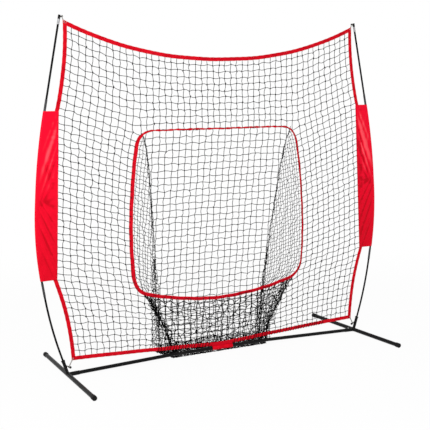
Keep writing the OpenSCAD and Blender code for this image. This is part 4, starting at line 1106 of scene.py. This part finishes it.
def bag_gathers():
    """The dark seams of the bag, where its panels are drawn together."""
    guide = Guide()
    high = np.linspace(BAG_TOP_Z - 12 * MM, BAG_KNOT_Z, REAR_POINTS)
    low = np.linspace(RING_HIP_Z, BAG_KNOT_Z, 24)
    for side in (-1, 1):
        back = [(side * back_half(z), back_y(z), z) for z in high]
        gather(guide, back[:REAR_SPREADS + 1], np.array((4, 6, 9, 14)) * MM,
               (0.86, 0.5 * side, 0), cols=2)
        gather(guide, back[REAR_SPREADS:], np.array((14, 34, 52, 62, 66)) * MM,
               (0.86, 0.5 * side, 0), 0.25)
        front = [(side * (front_half(z) - 8 * MM), front_y(z) + 4 * MM, z) for z in low]
        gather(guide, front, np.array((26, 48, 62, 56)) * MM, (0.9, -0.3 * side, 0), 0.3, 15 * MM)
        foot = [(side * lerp(BAG_FRONT_X, BAG_FOOT_X, t), lerp(BAG_FRONT_Y, BAG_FOOT_Y, t), 18 * MM)
                for t in np.linspace(0, 1, 8)]
        gather(guide, foot, np.array((26, 30)) * MM, (0.9, 0, 0.45), 0.2)
    across = np.linspace(-1, 1, 60)
    rear = [(x * BAG_FOOT_X, BAG_FOOT_Y - 12 * MM, (34 - 12 * abs(x)) * MM) for x in across]
    gather(guide, rear, np.array((34, 44, 56, 46, 30)) * MM, (0, 0.5, 0.86), 0.3, 10 * MM)
    fore = [(x * BAG_FRONT_X, BAG_FRONT_Y + 4 * MM, 9 * MM) for x in across]
    gather(guide, fore, np.array((9, 13, 9)) * MM, (0, 0.8, 0.4), 0.3, 24 * MM, 3)
    seams = guide.netting("bag_gathered_seams", *SEAM_YARN, BAG_TWINE)
    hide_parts("bag_seams")
    return seams


LACING_X, LACING_PITCH = (-0.46, 0.79), 21 * MM
LACE_R, LACE_SLIP, LACE_SLANT, LACE_FREE = 1.6 * MM, 3, (5, 12), 8 * MM
# One turn round the hem: share of its slant, place along Y and height above or below the hem
LACE_TURN = ((0.0, 0.0, -14), (0.0, -4.2, -11), (0.5, -4.9, 0), (1.0, -4.2, 11), (1.0, 0.0, 14),
             (0.8, 4.2, 11), (0.2, 4.2, -11))


def hem_lacing():
    """Twine laced over the bottom hem where it carries the bag: slanted turns on both faces."""
    bm = None
    for x in np.arange(*LACING_X, LACING_PITCH):
        if abs(x) > STRAP_HALF + LACE_FREE:
            x += rng.uniform(-LACE_SLIP, LACE_SLIP) * MM
            slant = rng.uniform(*LACE_SLANT) * MM
            path = [(x + share * slant, y * MM, bottom_z(x) + z * MM) for share, y, z in LACE_TURN]
            bm = loft(tube_rings(path, LACE_R, 6, True), True, bm)
    return finished("bottom_hem_lacing", bm, BAG_TWINE)


# ---- hems -----------------------------------------------------------------------
# Across a hem from its open edge to its fold: share of its half width, half thickness in mm
HEM_OUT_SHARES = (-1, -0.96, -0.82, -0.7, -0.58, -0.15, 0.3, 0.55, 0.66, 0.77, 0.93, 1)
HEM_HALF_THICK = (1.0, 1.7, 2.2, 1.8, 2.2, 2.5, 2.5, 2.4, 1.9, 2.3, 1.7, 0.5)
HEM_STITCH_ROWS, HEM_STITCH_Y = (-0.70, 0.66), 1.8 * MM
SCALLOP, SCALLOP_PITCH = 0.5 * MM, 43
SLOW_WAVE, SLOW_PITCH = 0.8 * MM, 0.31
BILLOW, BILLOW_LENGTH = 0.5 * MM, 0.067
SIDE_LAP_LOW, SIDE_LAP_TOP = 3 * MM, 7 * MM
HEM_POINTS, SIDE_HEM_POINTS = 240, 230


def hem_section():
    """Folded webbing: its open edge inwards, the fold outwards, and a dip at each seam."""
    front = [(-HEM_HALF * a, -MM * b) for a, b in zip(HEM_OUT_SHARES, HEM_HALF_THICK)]
    return np.array(front + [(a, -b) for a, b in front[::-1]])


def pulled(path, seed):
    """The path with the small scallops that the netting's pull gives a hem."""
    path = np.asarray(path, float)
    at = lengths(path)
    t = directions(path)
    wave = SCALLOP * np.sin(2 * math.pi * at / SCALLOP_PITCH / MM + seed)
    slow = SLOW_WAVE * np.sin(2 * math.pi * at / SLOW_PITCH + 2 * seed)
    slow *= np.sin(math.pi * at / at[-1])
    return path + (wave + slow)[:, None] * np.stack([t[:, 1], -t[:, 0]], 1)


def hem(name, path, inward, seed, seams, *nodes):
    """One folded hem along a path of (x, z), with its seams added to the stitches' guide."""
    path = pulled(path, seed)
    billow = BILLOW * np.sin(lengths(path) / BILLOW_LENGTH + seed)
    sections = np.repeat(hem_section()[None], len(path), 0)
    sections[..., 1] += billow[:, None]
    piece = finished(name, loft(carry(path, sections, inward)), WEBBING)
    for row in HEM_STITCH_ROWS:
        for face in (-1, 1):
            seam = carry(path, [[(-HEM_HALF * row, face * HEM_STITCH_Y)]], inward)[:, 0]
            seam[:, 1] += billow
            seams.line(seam)
    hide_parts(*nodes)
    return piece


def hems(seams):
    """The four hems; the side hems run in under the corner tabs."""
    xs = np.linspace(-TOP_X + TAB_IN, TOP_X - TAB_IN, HEM_POINTS)
    made = [hem("top_hem", [(x, top_z(x)) for x in xs], 1, 0.3, seams, "hem_top")]
    xs = np.linspace(-LOW_X + TAB_IN, LOW_X - TAB_IN, HEM_POINTS)
    made.append(hem("bottom_hem", [(x, bottom_z(x)) for x in xs], -1, 1.1, seams, "hem_bottom"))
    low, high = LOW_Z + HEM_HALF - SIDE_LAP_LOW, TOP_Z - SIDE_LAP_TOP
    zs = np.linspace(low, high, SIDE_HEM_POINTS)
    for side, name in ((-1, "left"), (1, "right")):
        path = [(side * side_x(z), z) for z in zs]
        made.append(hem(name + "_hem", path, -side, 2.0 + side, seams, "hem_" + name))
    return made


# Start and end of the tape across its width, inwards and along Y in millimetres
TAPE_SIDE, TAPE_TOP, TAPE_LOW = (-10, 6.5, 9.5, -8.5), (-3.5, 3.5, 3.5, -8), (-10.5, 3, 12.5, -2)
# Across the tape: share of its width, half thickness in mm
TAPE_SHARES = (0.0, 0.03, 0.14, 0.22, 0.5, 0.78, 0.86, 0.97, 1.0)
TAPE_HALF_THICK = (0.8, 1.9, 2.5, 2.2, 2.9, 2.2, 2.5, 1.9, 0.8)
TAPE_STITCH_ROWS, TAPE_STITCH_Y = (0.22, 0.78), 2.3
# How far the tape waves all round, crimps along its top and twists at its inner edge
TAPE_WAVE, TAPE_CRIMPS, TAPE_TWIST = 0.9 * MM, (1.6 * MM, 1.4 * MM), 1.2 * MM


def ring_binding(seams):
    """The tape round the opening. It lies flatter at the sides than along the top edge."""
    t = directions(RING_LOOP, True)
    at_side = t[:, 1] ** 2
    at_top, at_low = np.maximum(0, t[:, 0]) ** 2, np.maximum(0, -t[:, 0]) ** 2
    ends = np.outer(at_side, TAPE_SIDE) + np.outer(at_top, TAPE_TOP) + np.outer(at_low, TAPE_LOW)
    ends = ends * MM
    at = lengths(np.vstack([RING_LOOP, RING_LOOP[:1]]))[:-1]
    turns = 2 * math.pi * at / (at[-1] + np.linalg.norm(RING_LOOP[0] - RING_LOOP[-1]))
    wave = TAPE_WAVE * np.sin(31 * turns) + TAPE_WAVE * np.sin(9 * turns + 1)
    fine, coarse = TAPE_CRIMPS
    crimp = at_top * (fine * np.sin(97 * turns) + coarse * np.sin(61 * turns + 2))
    twist = TAPE_TWIST * np.sin(17 * turns + 2)
    start = ends[:, :2] + np.stack([wave - crimp, 0.5 * wave], 1)
    end = ends[:, 2:] + np.stack([wave + crimp, twist], 1)
    way = (end - start) / np.linalg.norm(end - start, axis=1, keepdims=True)
    thick = np.stack([-way[:, 1], way[:, 0]], 1)

    def place(share, out):
        return lerp(start, end, share) + thick * MM * out

    spots = [place(a, b) for a, b in zip(TAPE_SHARES, TAPE_HALF_THICK)]
    spots += [place(a, -b) for a, b in zip(TAPE_SHARES[::-1], TAPE_HALF_THICK[::-1])]
    rings = carry(RING_LOOP, np.stack(spots, 1), 1, True)
    piece = finished("opening_binding", loft(rings, True), BINDING)
    for share in TAPE_STITCH_ROWS:
        for out in (-TAPE_STITCH_Y, TAPE_STITCH_Y):
            seam = carry(RING_LOOP, place(share, out)[:, None], 1, True)[:, 0]
            seams.line(np.vstack([seam, seam[:1]]))
    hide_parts("ring")
    return piece


# ---- sleeves --------------------------------------------------------------------
SLEEVE_CLEAR_R = 8.3 * MM
HEM_CLEAR = 3.7 * MM
SLEEVE_CLOTH = 0.6 * MM
SLEEVE_END = 0.03
WALL_POINTS, WRAP_POINTS, SLEEVE_LEVELS = 26, 9, 170
# A fold that stands this many millimetres out gets a painted light of 1, the full painted highlight
FOLD_MM_FOR_FULL_PAINTED_LIGHT = 5
# Depth in millimetres of the small wrinkles and of the crimps beside the hem, and where those are
WRINKLE_DEPTH, CRIMP_DEPTH = 1.8, 3.4
CRIMP_AT, CRIMP_WIDTH = 0.03, 0.016
# Levels and wall points that carry a seam, and how far its thread stands off, as a share of Y
END_SEAMS, END_SEAM_OUT = (3, 5, -4, -6), 1.07
SIDE_SEAMS, SIDE_SEAM_OUT = (2, -3), 1.12
# Painted shade on the right sleeve: a darker strip beside its hem, where it lies double, painted
# lighter beyond, with its folds' painted light made stronger
DOUBLED_SHARE, DOUBLED_PAINTED_SHADE, PAINTED_LIFT, RIGHT_PAINTED_CONTRAST = 0.27, -0.24, 0.14, 1.8
SLEEVE_FOLDS = (
    # height at the hem, rise per metre outwards, half width in metres, depth in millimetres
    (1.60, -2.4, 0.020, 2.0), (1.53, -2.9, 0.034, 5.0), (1.46, -3.0, 0.014, -2.0),
    (1.42, -2.9, 0.018, 3.4), (1.35, -2.7, 0.022, -2.4), (1.29, -2.2, 0.020, 2.0),
    (1.20, -1.4, 0.016, -1.6), (1.10, -0.5, 0.012, -1.2), (1.02, 0.6, 0.014, -1.4),
    (0.95, 1.2, 0.016, 1.6), (0.90, 1.6, 0.012, -2.4), (0.84, 1.8, 0.016, 2.4),
    (0.79, 2.0, 0.012, -2.8), (0.73, 2.1, 0.018, 3.0), (0.68, 2.2, 0.012, -2.8),
    (0.62, 2.2, 0.016, 2.6), (0.57, 2.1, 0.012, -2.2),
)


# Length in millimetres and inward turn in degrees of each stretch of a pole, from the foot up
POLE_RUNS = ((130, 0), (380, 9.2), (80, 0), (460, 12.8), (80, 0), (460, 7), (80, 0))
POLE_POINTS = 12


def pole_ends():
    """Height, distance from the middle and outward lean at each end of a pole's stretches."""
    z, x, lean = FOOT_Z, FOOT_X, SOCKET_LEAN
    ends = [(z, x, lean)]
    for length, turn in POLE_RUNS:
        half = math.radians(turn) / 2
        chord = length * MM * (math.sin(half) / half if turn else 1)
        z += chord * math.cos(lean - half)
        x += chord * math.sin(lean - half)
        lean -= 2 * half
        ends.append((round(z, 5), round(x, 5), lean))
    return ends


def pole_line():
    """The poles' centre line as heights and distances from the middle."""
    zs, xs = [], []
    ends = pole_ends()
    for (z0, x0, lean0), (z1, x1, lean1) in zip(ends, ends[1:]):
        h = z1 - z0
        for t in np.linspace(0, 1, POLE_POINTS, endpoint=False):
            h00, h10 = 2 * t**3 - 3 * t**2 + 1, t**3 - 2 * t**2 + t
            h01, h11 = 3 * t**2 - 2 * t**3, t**3 - t**2
            zs.append(lerp(z0, z1, t))
            xs.append(h00 * x0 + h10 * h * math.tan(lean0) + h01 * x1 + h11 * h * math.tan(lean1))
    return np.array(zs), np.array(xs)


POLE_Z, POLE_X = pole_line()


def pole_x(z):
    """Distance of a pole's centre line from the middle."""
    return float(np.interp(z, POLE_Z, POLE_X))


def sleeve_fold(x, z, side, face):
    """Millimetres by which the cloth stands out at a point x outwards of the hem."""
    height = 0.0
    for start, rise, half, deep in SLEEVE_FOLDS:
        off = z - start - rise * x
        height += deep * math.exp(-((off / half) ** 2))
    wrinkle = noise.noise(Vector((22 * x + 9 * side, 14 * z - 30 * x, 3.0 * face)))
    near = math.exp(-abs(x - CRIMP_AT) / CRIMP_WIDTH)
    crimp = near * noise.noise(Vector((9 * side, 60 * z, 2.0 * face)))
    return height + WRINKLE_DEPTH * wrinkle + CRIMP_DEPTH * crimp


def sleeve_rings(side):
    """Cloth from the hem's front, round the pole and back to the hem, level by level.

    Returns its points and, for each, the painted light of its fold: below 0 for painted shade in a
    valley and above 0 for a painted highlight on a ridge."""
    rings, painted_fold_light = [], []
    for z in np.linspace(SLEEVE_LOW_Z, SLEEVE_TOP_Z, SLEEVE_LEVELS):
        px, tail = pole_x(z), side_x(z) - HEM_HALF + 1.5 * MM
        end = min(1.0, (z - SLEEVE_LOW_Z) / SLEEVE_END, (SLEEVE_TOP_Z - z) / SLEEVE_END)
        # crest gathers the painted light of each wall point, face by face
        ring, crest = [], []
        for face in (-1, 1):
            wall, painted_wall_light = [], []
            for k in range(WALL_POINTS):
                u = k / WALL_POINTS
                x = lerp(tail, px, u)
                free = max(0.0, x - tail - HEM_WIDTH) / (px - tail - HEM_WIDTH)
                taut = lerp(HEM_CLEAR, SLEEVE_CLEAR_R, free**1.4)
                ease = math.sin(math.pi * min(1.0, u * 1.02)) ** 0.8 * (0.35 + 0.65 * end)
                fold = ease * sleeve_fold(x - tail, z, side, face)
                wall.append((side * x, face * max(taut + MM * fold, HEM_CLEAR), z))
                # Painted light: each point's value from its fold, which the cloth turns into
                # painted highlight or painted shade
                shade = fold / FOLD_MM_FOR_FULL_PAINTED_LIGHT
                if side > 0:
                    shade = RIGHT_PAINTED_CONTRAST * shade + (DOUBLED_PAINTED_SHADE if u < DOUBLED_SHARE else PAINTED_LIFT)
                painted_wall_light.append(shade)
            ring.append(wall)
            crest.append(painted_wall_light)
        turn = np.linspace(-math.pi / 2, math.pi / 2, WRAP_POINTS)
        wrap = [(side * (px + SLEEVE_CLEAR_R * math.cos(a)), SLEEVE_CLEAR_R * math.sin(a), z)
                for a in turn]
        rings.append(ring[0] + wrap + ring[1][::-1])
        painted_fold_light.append(crest[0] + [0.0] * WRAP_POINTS + crest[1][::-1])
    return np.array(rings), np.array(painted_fold_light)


def sleeve(side, seams):
    """One sleeve: a cloth sewn over both faces of the side hem, with hemmed ends."""
    name = "left" if side < 0 else "right"
    rings, painted_fold_light = sleeve_rings(side)
    bm = bmesh.new()
    # The fold map carries the folds' painted light to the cloth's colour
    uv, fold = bm.loops.layers.uv.new("weave"), bm.loops.layers.uv.new("fold")
    verts = [[bm.verts.new(p) for p in ring] for ring in rings]
    around = lengths(rings[len(rings) // 2])
    for i in range(len(rings) - 1):
        for k in range(rings.shape[1] - 1):
            corners = ((i, k), (i, k + 1), (i + 1, k + 1), (i + 1, k))
            face = bm.faces.new([verts[a][b] for a, b in corners])
            for loop, (a, b) in zip(face.loops, corners):
                loop[uv].uv = (rings[a, b, 2], around[b])
                loop[fold].uv = (painted_fold_light[a, b], 0)
            face.smooth = True
    bmesh.ops.recalc_face_normals(bm, faces=bm.faces[:])
    bm.faces.ensure_lookup_table()
    middle = bm.faces[len(bm.faces) // 2]
    outwards = middle.calc_center_median().x * side > pole_x(1.1)
    if outwards == (middle.normal.x * side < 0):
        bmesh.ops.reverse_faces(bm, faces=bm.faces[:])
    piece = finished(name + "_sleeve", bm, CLOTH)
    wall = piece.modifiers.new("wall", "SOLIDIFY")
    wall.thickness, wall.offset = SLEEVE_CLOTH, 1.0
    settle(piece)
    for level in END_SEAMS:
        seams.line(rings[level] * (1, END_SEAM_OUT, 1))
    for k in SIDE_SEAMS:
        seams.line(rings[::6, k] * (1, SIDE_SEAM_OUT, 1))
    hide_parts("sleeve_" + name)
    return piece


# ---- strap, tabs and cords ------------------------------------------------------
STRAP_HALF = 0.074
STRAP_THICK, STRAP_EASE = 1.4 * MM, 0.5 * MM
BAR_R, BAR_FIT = 11.2 * MM, 0.3 * MM
BAR_Z = 37.95 * MM
HEM_LEG = 3.0 * MM
TAB_ROUND, TAB_CURL, TAB_RIPPLE = 5 * MM, 0.8 * MM, 0.25 * MM
STRAP_STRIPS = 40
# First, last and step, in degrees, of the strap's way round the bar
STRAP_WRAP = (120, 421, 10)


def strap():
    """A wide tape folded round the bar and up both faces of the bottom hem."""
    inner = BAR_R + BAR_FIT
    knee = BAR_R + 2 * MM
    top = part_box("strap")[1].z - BAR_Z

    def side(grow):
        turn = np.radians(np.arange(*STRAP_WRAP))
        arc = [((inner + grow) * math.cos(a), (inner + grow) * math.sin(a)) for a in turn]
        start = [(-HEM_LEG - grow, knee), (-HEM_LEG - grow - 0.4 * MM, knee - 1.2 * MM)]
        legs = np.linspace(knee - 1.0 * MM, top, 7)
        return start + arc + [(HEM_LEG + grow, h) for h in legs]

    outline = np.array(side(STRAP_THICK) + side(0)[::-1])
    rings = []
    for x in np.linspace(-STRAP_HALF, STRAP_HALF, STRAP_STRIPS):
        ease = STRAP_EASE * np.sin(x / 0.011 + outline[:, 1] * 90)
        rings.append(np.stack([np.full(len(outline), x), outline[:, 0] + 0.4 * ease,
                               BAR_Z + outline[:, 1]], 1))
    piece = finished("bar_strap", loft(rings), STRAPPING)
    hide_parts("strap")
    return piece


def strap_tab():
    """The strap's loose end, with rounded corners and a slight curl."""
    low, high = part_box("strap_tab")
    middle_y = (low.y + high.y) / 2
    half = (high.x - low.x) / 2
    rings = []
    for k in range(STRAP_STRIPS + 1):
        w = 2 * k / STRAP_STRIPS - 1
        round_off = max(0.0, abs(w) * half - (half - TAB_ROUND)) ** 2 / TAB_ROUND
        ring = []
        for face in (-1, 1):
            rows = [(lerp(low.z, high.z - round_off, t), t) for t in np.linspace(0, 1, 9)]
            for z, t in rows if face < 0 else rows[::-1]:
                curl = -TAB_CURL * t * t + TAB_RIPPLE * math.sin(9 * w + 2 * t)
                edge = 0.45 if t in (0.0, 1.0) else 1.0
                ring.append((w * half, middle_y + curl + face * edge * STRAP_THICK / 2, z))
        rings.append(ring)
    piece = finished("strap_loose_tab", loft(rings), HOOKS)
    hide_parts("strap_tab")
    return piece


EYE_R = 4 * MM
TAB_OUT, EYE_OUT, TAB_POWER = 12 * MM, 3 * MM, 24
# From a tab's rim to its hole: half thickness in mm, share of the way out from the hole
TAB_PROFILE = ((0.45, 1.0), (0.9, 0.96), (1.35, 0.9), (2.2, 0.72), (2.2, 0.4), (1.9, 0.12),
               (1.2, 0.0))
TOP_EYE = (TOP_X + EYE_OUT, top_z(TOP_X + EYE_OUT))
LOW_EYE = (LOW_X + EYE_OUT, LOW_Z)


def tab_rings(eye, slope, side):
    """A webbing tab with a hole, cut upright at its outer edge, as rings round the hole.

    Its outline is a rounded box: a high power sum of its limits softens their corners."""
    turn = np.linspace(0, 2 * math.pi, 64, endpoint=False)
    reach_in, reach_out = EYE_OUT + TAB_IN - 0.3 * MM, TAB_OUT - EYE_OUT
    outer = []
    for a in turn:
        c, s = math.cos(a), math.sin(a)
        upright = c * math.cos(slope) - s * math.sin(slope)
        limits = (-c / reach_in, abs(s) / (HEM_HALF - 0.1 * MM), upright / reach_out)
        scale = sum(max(0.0, share) ** TAB_POWER for share in limits) ** (-1 / TAB_POWER)
        outer.append((c * scale, s * scale))
    outer = np.array(outer)
    hole = np.stack([np.cos(turn), np.sin(turn)], 1) * EYE_R
    rings = []
    for face in (-1, 1):
        steps = TAB_PROFILE if face < 0 else TAB_PROFILE[::-1]
        for thick, share in steps:
            flat = lerp(hole, outer, share)
            x = flat[:, 0] * math.cos(slope) - flat[:, 1] * math.sin(slope)
            z = flat[:, 0] * math.sin(slope) + flat[:, 1] * math.cos(slope)
            y = np.full(len(turn), face * thick * MM)
            rings.append(np.stack([side * (eye[0] + x), y, eye[1] + z], 1))
    return np.array(rings)


def corner_tabs():
    """Four tabs that carry on the hems, each with a hole for its cord."""
    bm = None
    slope = math.atan((top_z(TOP_X) - top_z(TOP_X - 10 * MM)) / (10 * MM))
    for side in (-1, 1):
        bm = loft(tab_rings(TOP_EYE, slope, side), True, bm)
        bm = loft(tab_rings(LOW_EYE, 0.0, side), True, bm)
    piece = finished("corner_webbing_tabs", bm, WEBBING)
    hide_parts("corner_tabs")
    return piece


CORD_R, CORD_PINCH = 1.75 * MM, 1.2 * MM
PEG_R = 3 * MM
CORD_HALF, CORD_PAST_EYE = PEG_R + CORD_R + 0.3 * MM, 1.6 * MM
PEG_NECK, TIP_NECK = (1.04485, 0.06159), (1.01692, 2.13166)


def cord_loop(bm, peg, eye, side):
    """An endless elastic from a peg, through an eye and back, drawn in between them."""
    peg, eye = np.array(peg), np.array(eye)
    way = (eye - peg) / np.linalg.norm(eye - peg)
    span = np.linalg.norm(eye - peg) - (CORD_HALF - CORD_PAST_EYE)
    turn = np.linspace(0, math.pi, 13)
    bend = [(CORD_HALF * math.cos(a), span + CORD_HALF * math.sin(a)) for a in turn]
    legs = np.linspace(0, 1, 14)[1:-1]

    def pinch(t):
        return CORD_HALF - CORD_PINCH * math.sin(math.pi * t)

    loop = (bend + [(-pinch(1 - t), span * (1 - t)) for t in legs]
            + [(-y, span - s) for y, s in bend] + [(pinch(t), span * t) for t in legs])
    path = [(side * (peg[0] + way[0] * s), y, peg[1] + way[1] * s) for y, s in loop]
    return loft(tube_rings(path, CORD_R, 10, True), True, bm)


def corner_cords():
    """Elastic loops at the four corners of the net."""
    made = []
    for name, node, peg, eye in (("upper_elastics", "cords_top", TIP_NECK, TOP_EYE),
                                 ("lower_elastics", "cords_bottom", PEG_NECK, LOW_EYE)):
        bm = None
        for side in (-1, 1):
            bm = cord_loop(bm, peg, eye, side)
        piece = finished(name, bm, ELASTIC)
        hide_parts(node)
        made.append(piece)
    return made


# ---- weld beads -------------------------------------------------------------------
STUB_R, SOCKET_R = 12.7 * MM, 10 * MM
# A bead's radius and the height of its ripples in millimetres, and its ripples in one turn
BEAD_R, BEAD_RIPPLE, BEAD_RIPPLES = 1.7, 0.25, 16
BEAD_LIFT, BEAD_CLEAR = 0.6 * MM, 0.4 * MM


def weld_beads():
    """Beads where each foot carries its stub and its socket."""
    bm = None
    turn = np.linspace(0, 2 * math.pi, 48, endpoint=False)
    for side in (-1, 1):
        for radius, away in ((STUB_R, (-math.cos(STUB_RISE), math.sin(STUB_RISE))),
                             (SOCKET_R, (math.sin(SOCKET_LEAN), math.cos(SOCKET_LEAN)))):
            across = (away[1], -away[0])
            path, thick = [], []
            for a in turn:
                off = radius * math.sin(a)
                out = math.sqrt(FOOT_R**2 - off**2) + BEAD_LIFT
                path.append((side * (FOOT_X + away[0] * out + across[0] * off),
                             (radius + BEAD_CLEAR) * math.cos(a),
                             FOOT_Z + away[1] * out + across[1] * off))
                thick.append((BEAD_R + BEAD_RIPPLE * math.sin(BEAD_RIPPLES * a)) * MM)
            bm = loft(tube_rings(path, thick, 8, True), True, bm)
    return finished("foot_weld_beads", bm, WELD)


# ---- springs under the snap buttons -------------------------------------------------
def leaf_spring(joint):
    """The spring under one snap button, a copy of its solid fixed to the frame; the real leaf
    flattens as the button goes in.
    """
    node = joint["child"].replace("button", "spring")
    bm = bmesh.new()
    bm.from_mesh(frame["nodes"][node].data)
    bmesh.ops.remove_doubles(bm, verts=bm.verts[:], dist=0.01 * MM)
    bmesh.ops.recalc_face_normals(bm, faces=bm.faces[:])
    piece = finished(node.replace("spring", "leaf_spring"), bm, ZINC)
    mount(piece)
    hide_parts(node)
    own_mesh(piece)


# ---- stage, lights and the rest ---------------------------------------------------
FLOOR_HALF = 40.0


def floor_finish():
    """Pale floor: seen nearly white with a faint shadow, and lit as a plain pale surface."""
    made = bpy.data.materials.new("pale_floor")
    made.use_nodes = True
    g = Graph(made.node_tree)
    place = g.place()
    far = g.add("ShaderNodeVectorMath", {"operation": "LENGTH"}, {0: place}, out="Value")
    faint = g.clouds(place, 2.5, 2)
    shader = made.node_tree.nodes["Principled BSDF"]
    g.plug(shader.inputs["Base Color"], g.mix(faint, (0.86, 0.86, 0.86), (0.9, 0.9, 0.9)))
    g.plug(shader.inputs["Roughness"], 0.9)
    g.plug(shader.inputs["Specular IOR Level"], 0.0)
    white = g.add("ShaderNodeEmission", sockets={"Color": (1, 1, 1), "Strength": 1.0})
    share = g.in_view() * (0.95 + 0.05 * far.step(2.0, 4.5))
    both = g.add("ShaderNodeMixShader",
                 sockets={0: share, 1: Wire(g, shader.outputs[0]), 2: white})
    g.plug(made.node_tree.nodes["Material Output"].inputs["Surface"], both)
    return made


def add_stage():
    """The floor under the net."""
    bm = bmesh.new()
    corners = ((-1, -1), (1, -1), (1, 1), (-1, 1))
    bm.faces.new([bm.verts.new((FLOOR_HALF * x, FLOOR_HALF * y, 0)) for x, y in corners])
    finished("floor", bm, floor_finish())


WORLD_LIGHT = 0.62
AIM = Vector((0, 0, 0.9))
# Name, place, width in metres and watts of each lamp
LAMPS = (("key", (-3.9, -3.9, 3.8), 2.2, 210), ("fill", (4.2, -3.6, 3.4), 3.2, 15))


def add_light():
    """Even light from all round, a wide lamp at the left front and a weak one at the right."""
    world = bpy.data.worlds.new("studio")
    bpy.context.scene.world = world
    world.use_nodes = True
    g = Graph(world.node_tree)
    background = world.node_tree.nodes["Background"]
    g.plug(background.inputs["Color"], (1, 1, 1))
    g.plug(background.inputs["Strength"], g.in_view() * (1 - WORLD_LIGHT) + WORLD_LIGHT)
    for name, at, size, watts in LAMPS:
        data = bpy.data.lights.new(name, "AREA")
        data.size, data.energy = size, watts
        lamp = bpy.data.objects.new(name, data)
        bpy.context.scene.collection.objects.link(lamp)
        lamp.location = at
        lamp.rotation_mode = "QUATERNION"
        lamp.rotation_quaternion = (AIM - Vector(at)).to_track_quat("-Z", "Y")


CAD_FINISHES = {
    "tube": COAT, "plastic": PLASTIC, "steel": ZINC, "glass_fibre": ROD, "ferrule": FERRULE,
    "red_fabric": WEBBING, "netting": BAG_TWINE, "elastic": ELASTIC,
}


def dress_solids():
    """Gives each solid that stays in view the finish of its slot."""
    for part in frame["record"]["subparts"]:
        solid = frame["nodes"][part["node"]]
        solid.data.materials.clear()
        solid.data.materials.append(CAD_FINISHES[part["material_slot"]])


add_camera()
bpy.context.scene.view_settings.view_transform = "Standard"
add_stage()
add_light()
dress_solids()

seams = Guide()
for piece in hems(seams) + [ring_binding(seams), sleeve(-1, seams), sleeve(1, seams), strap(),
                            corner_tabs()]:
    mount(piece)
mount(strap_tab(), "strap_tab")
mount(seams.stitches("seam_stitches"))
mount(weld_beads())
for joint in frame["record"]["behaviour"]["joints"]:
    if joint["type"] == "slide":
        leaf_spring(joint)
for piece in (front_netting(), bag_back(), bag_front(), bag_sides(), bag_floor(), bag_gathers(),
              hem_lacing()):
    mount(piece)
for piece in corner_cords():
    mount(piece)
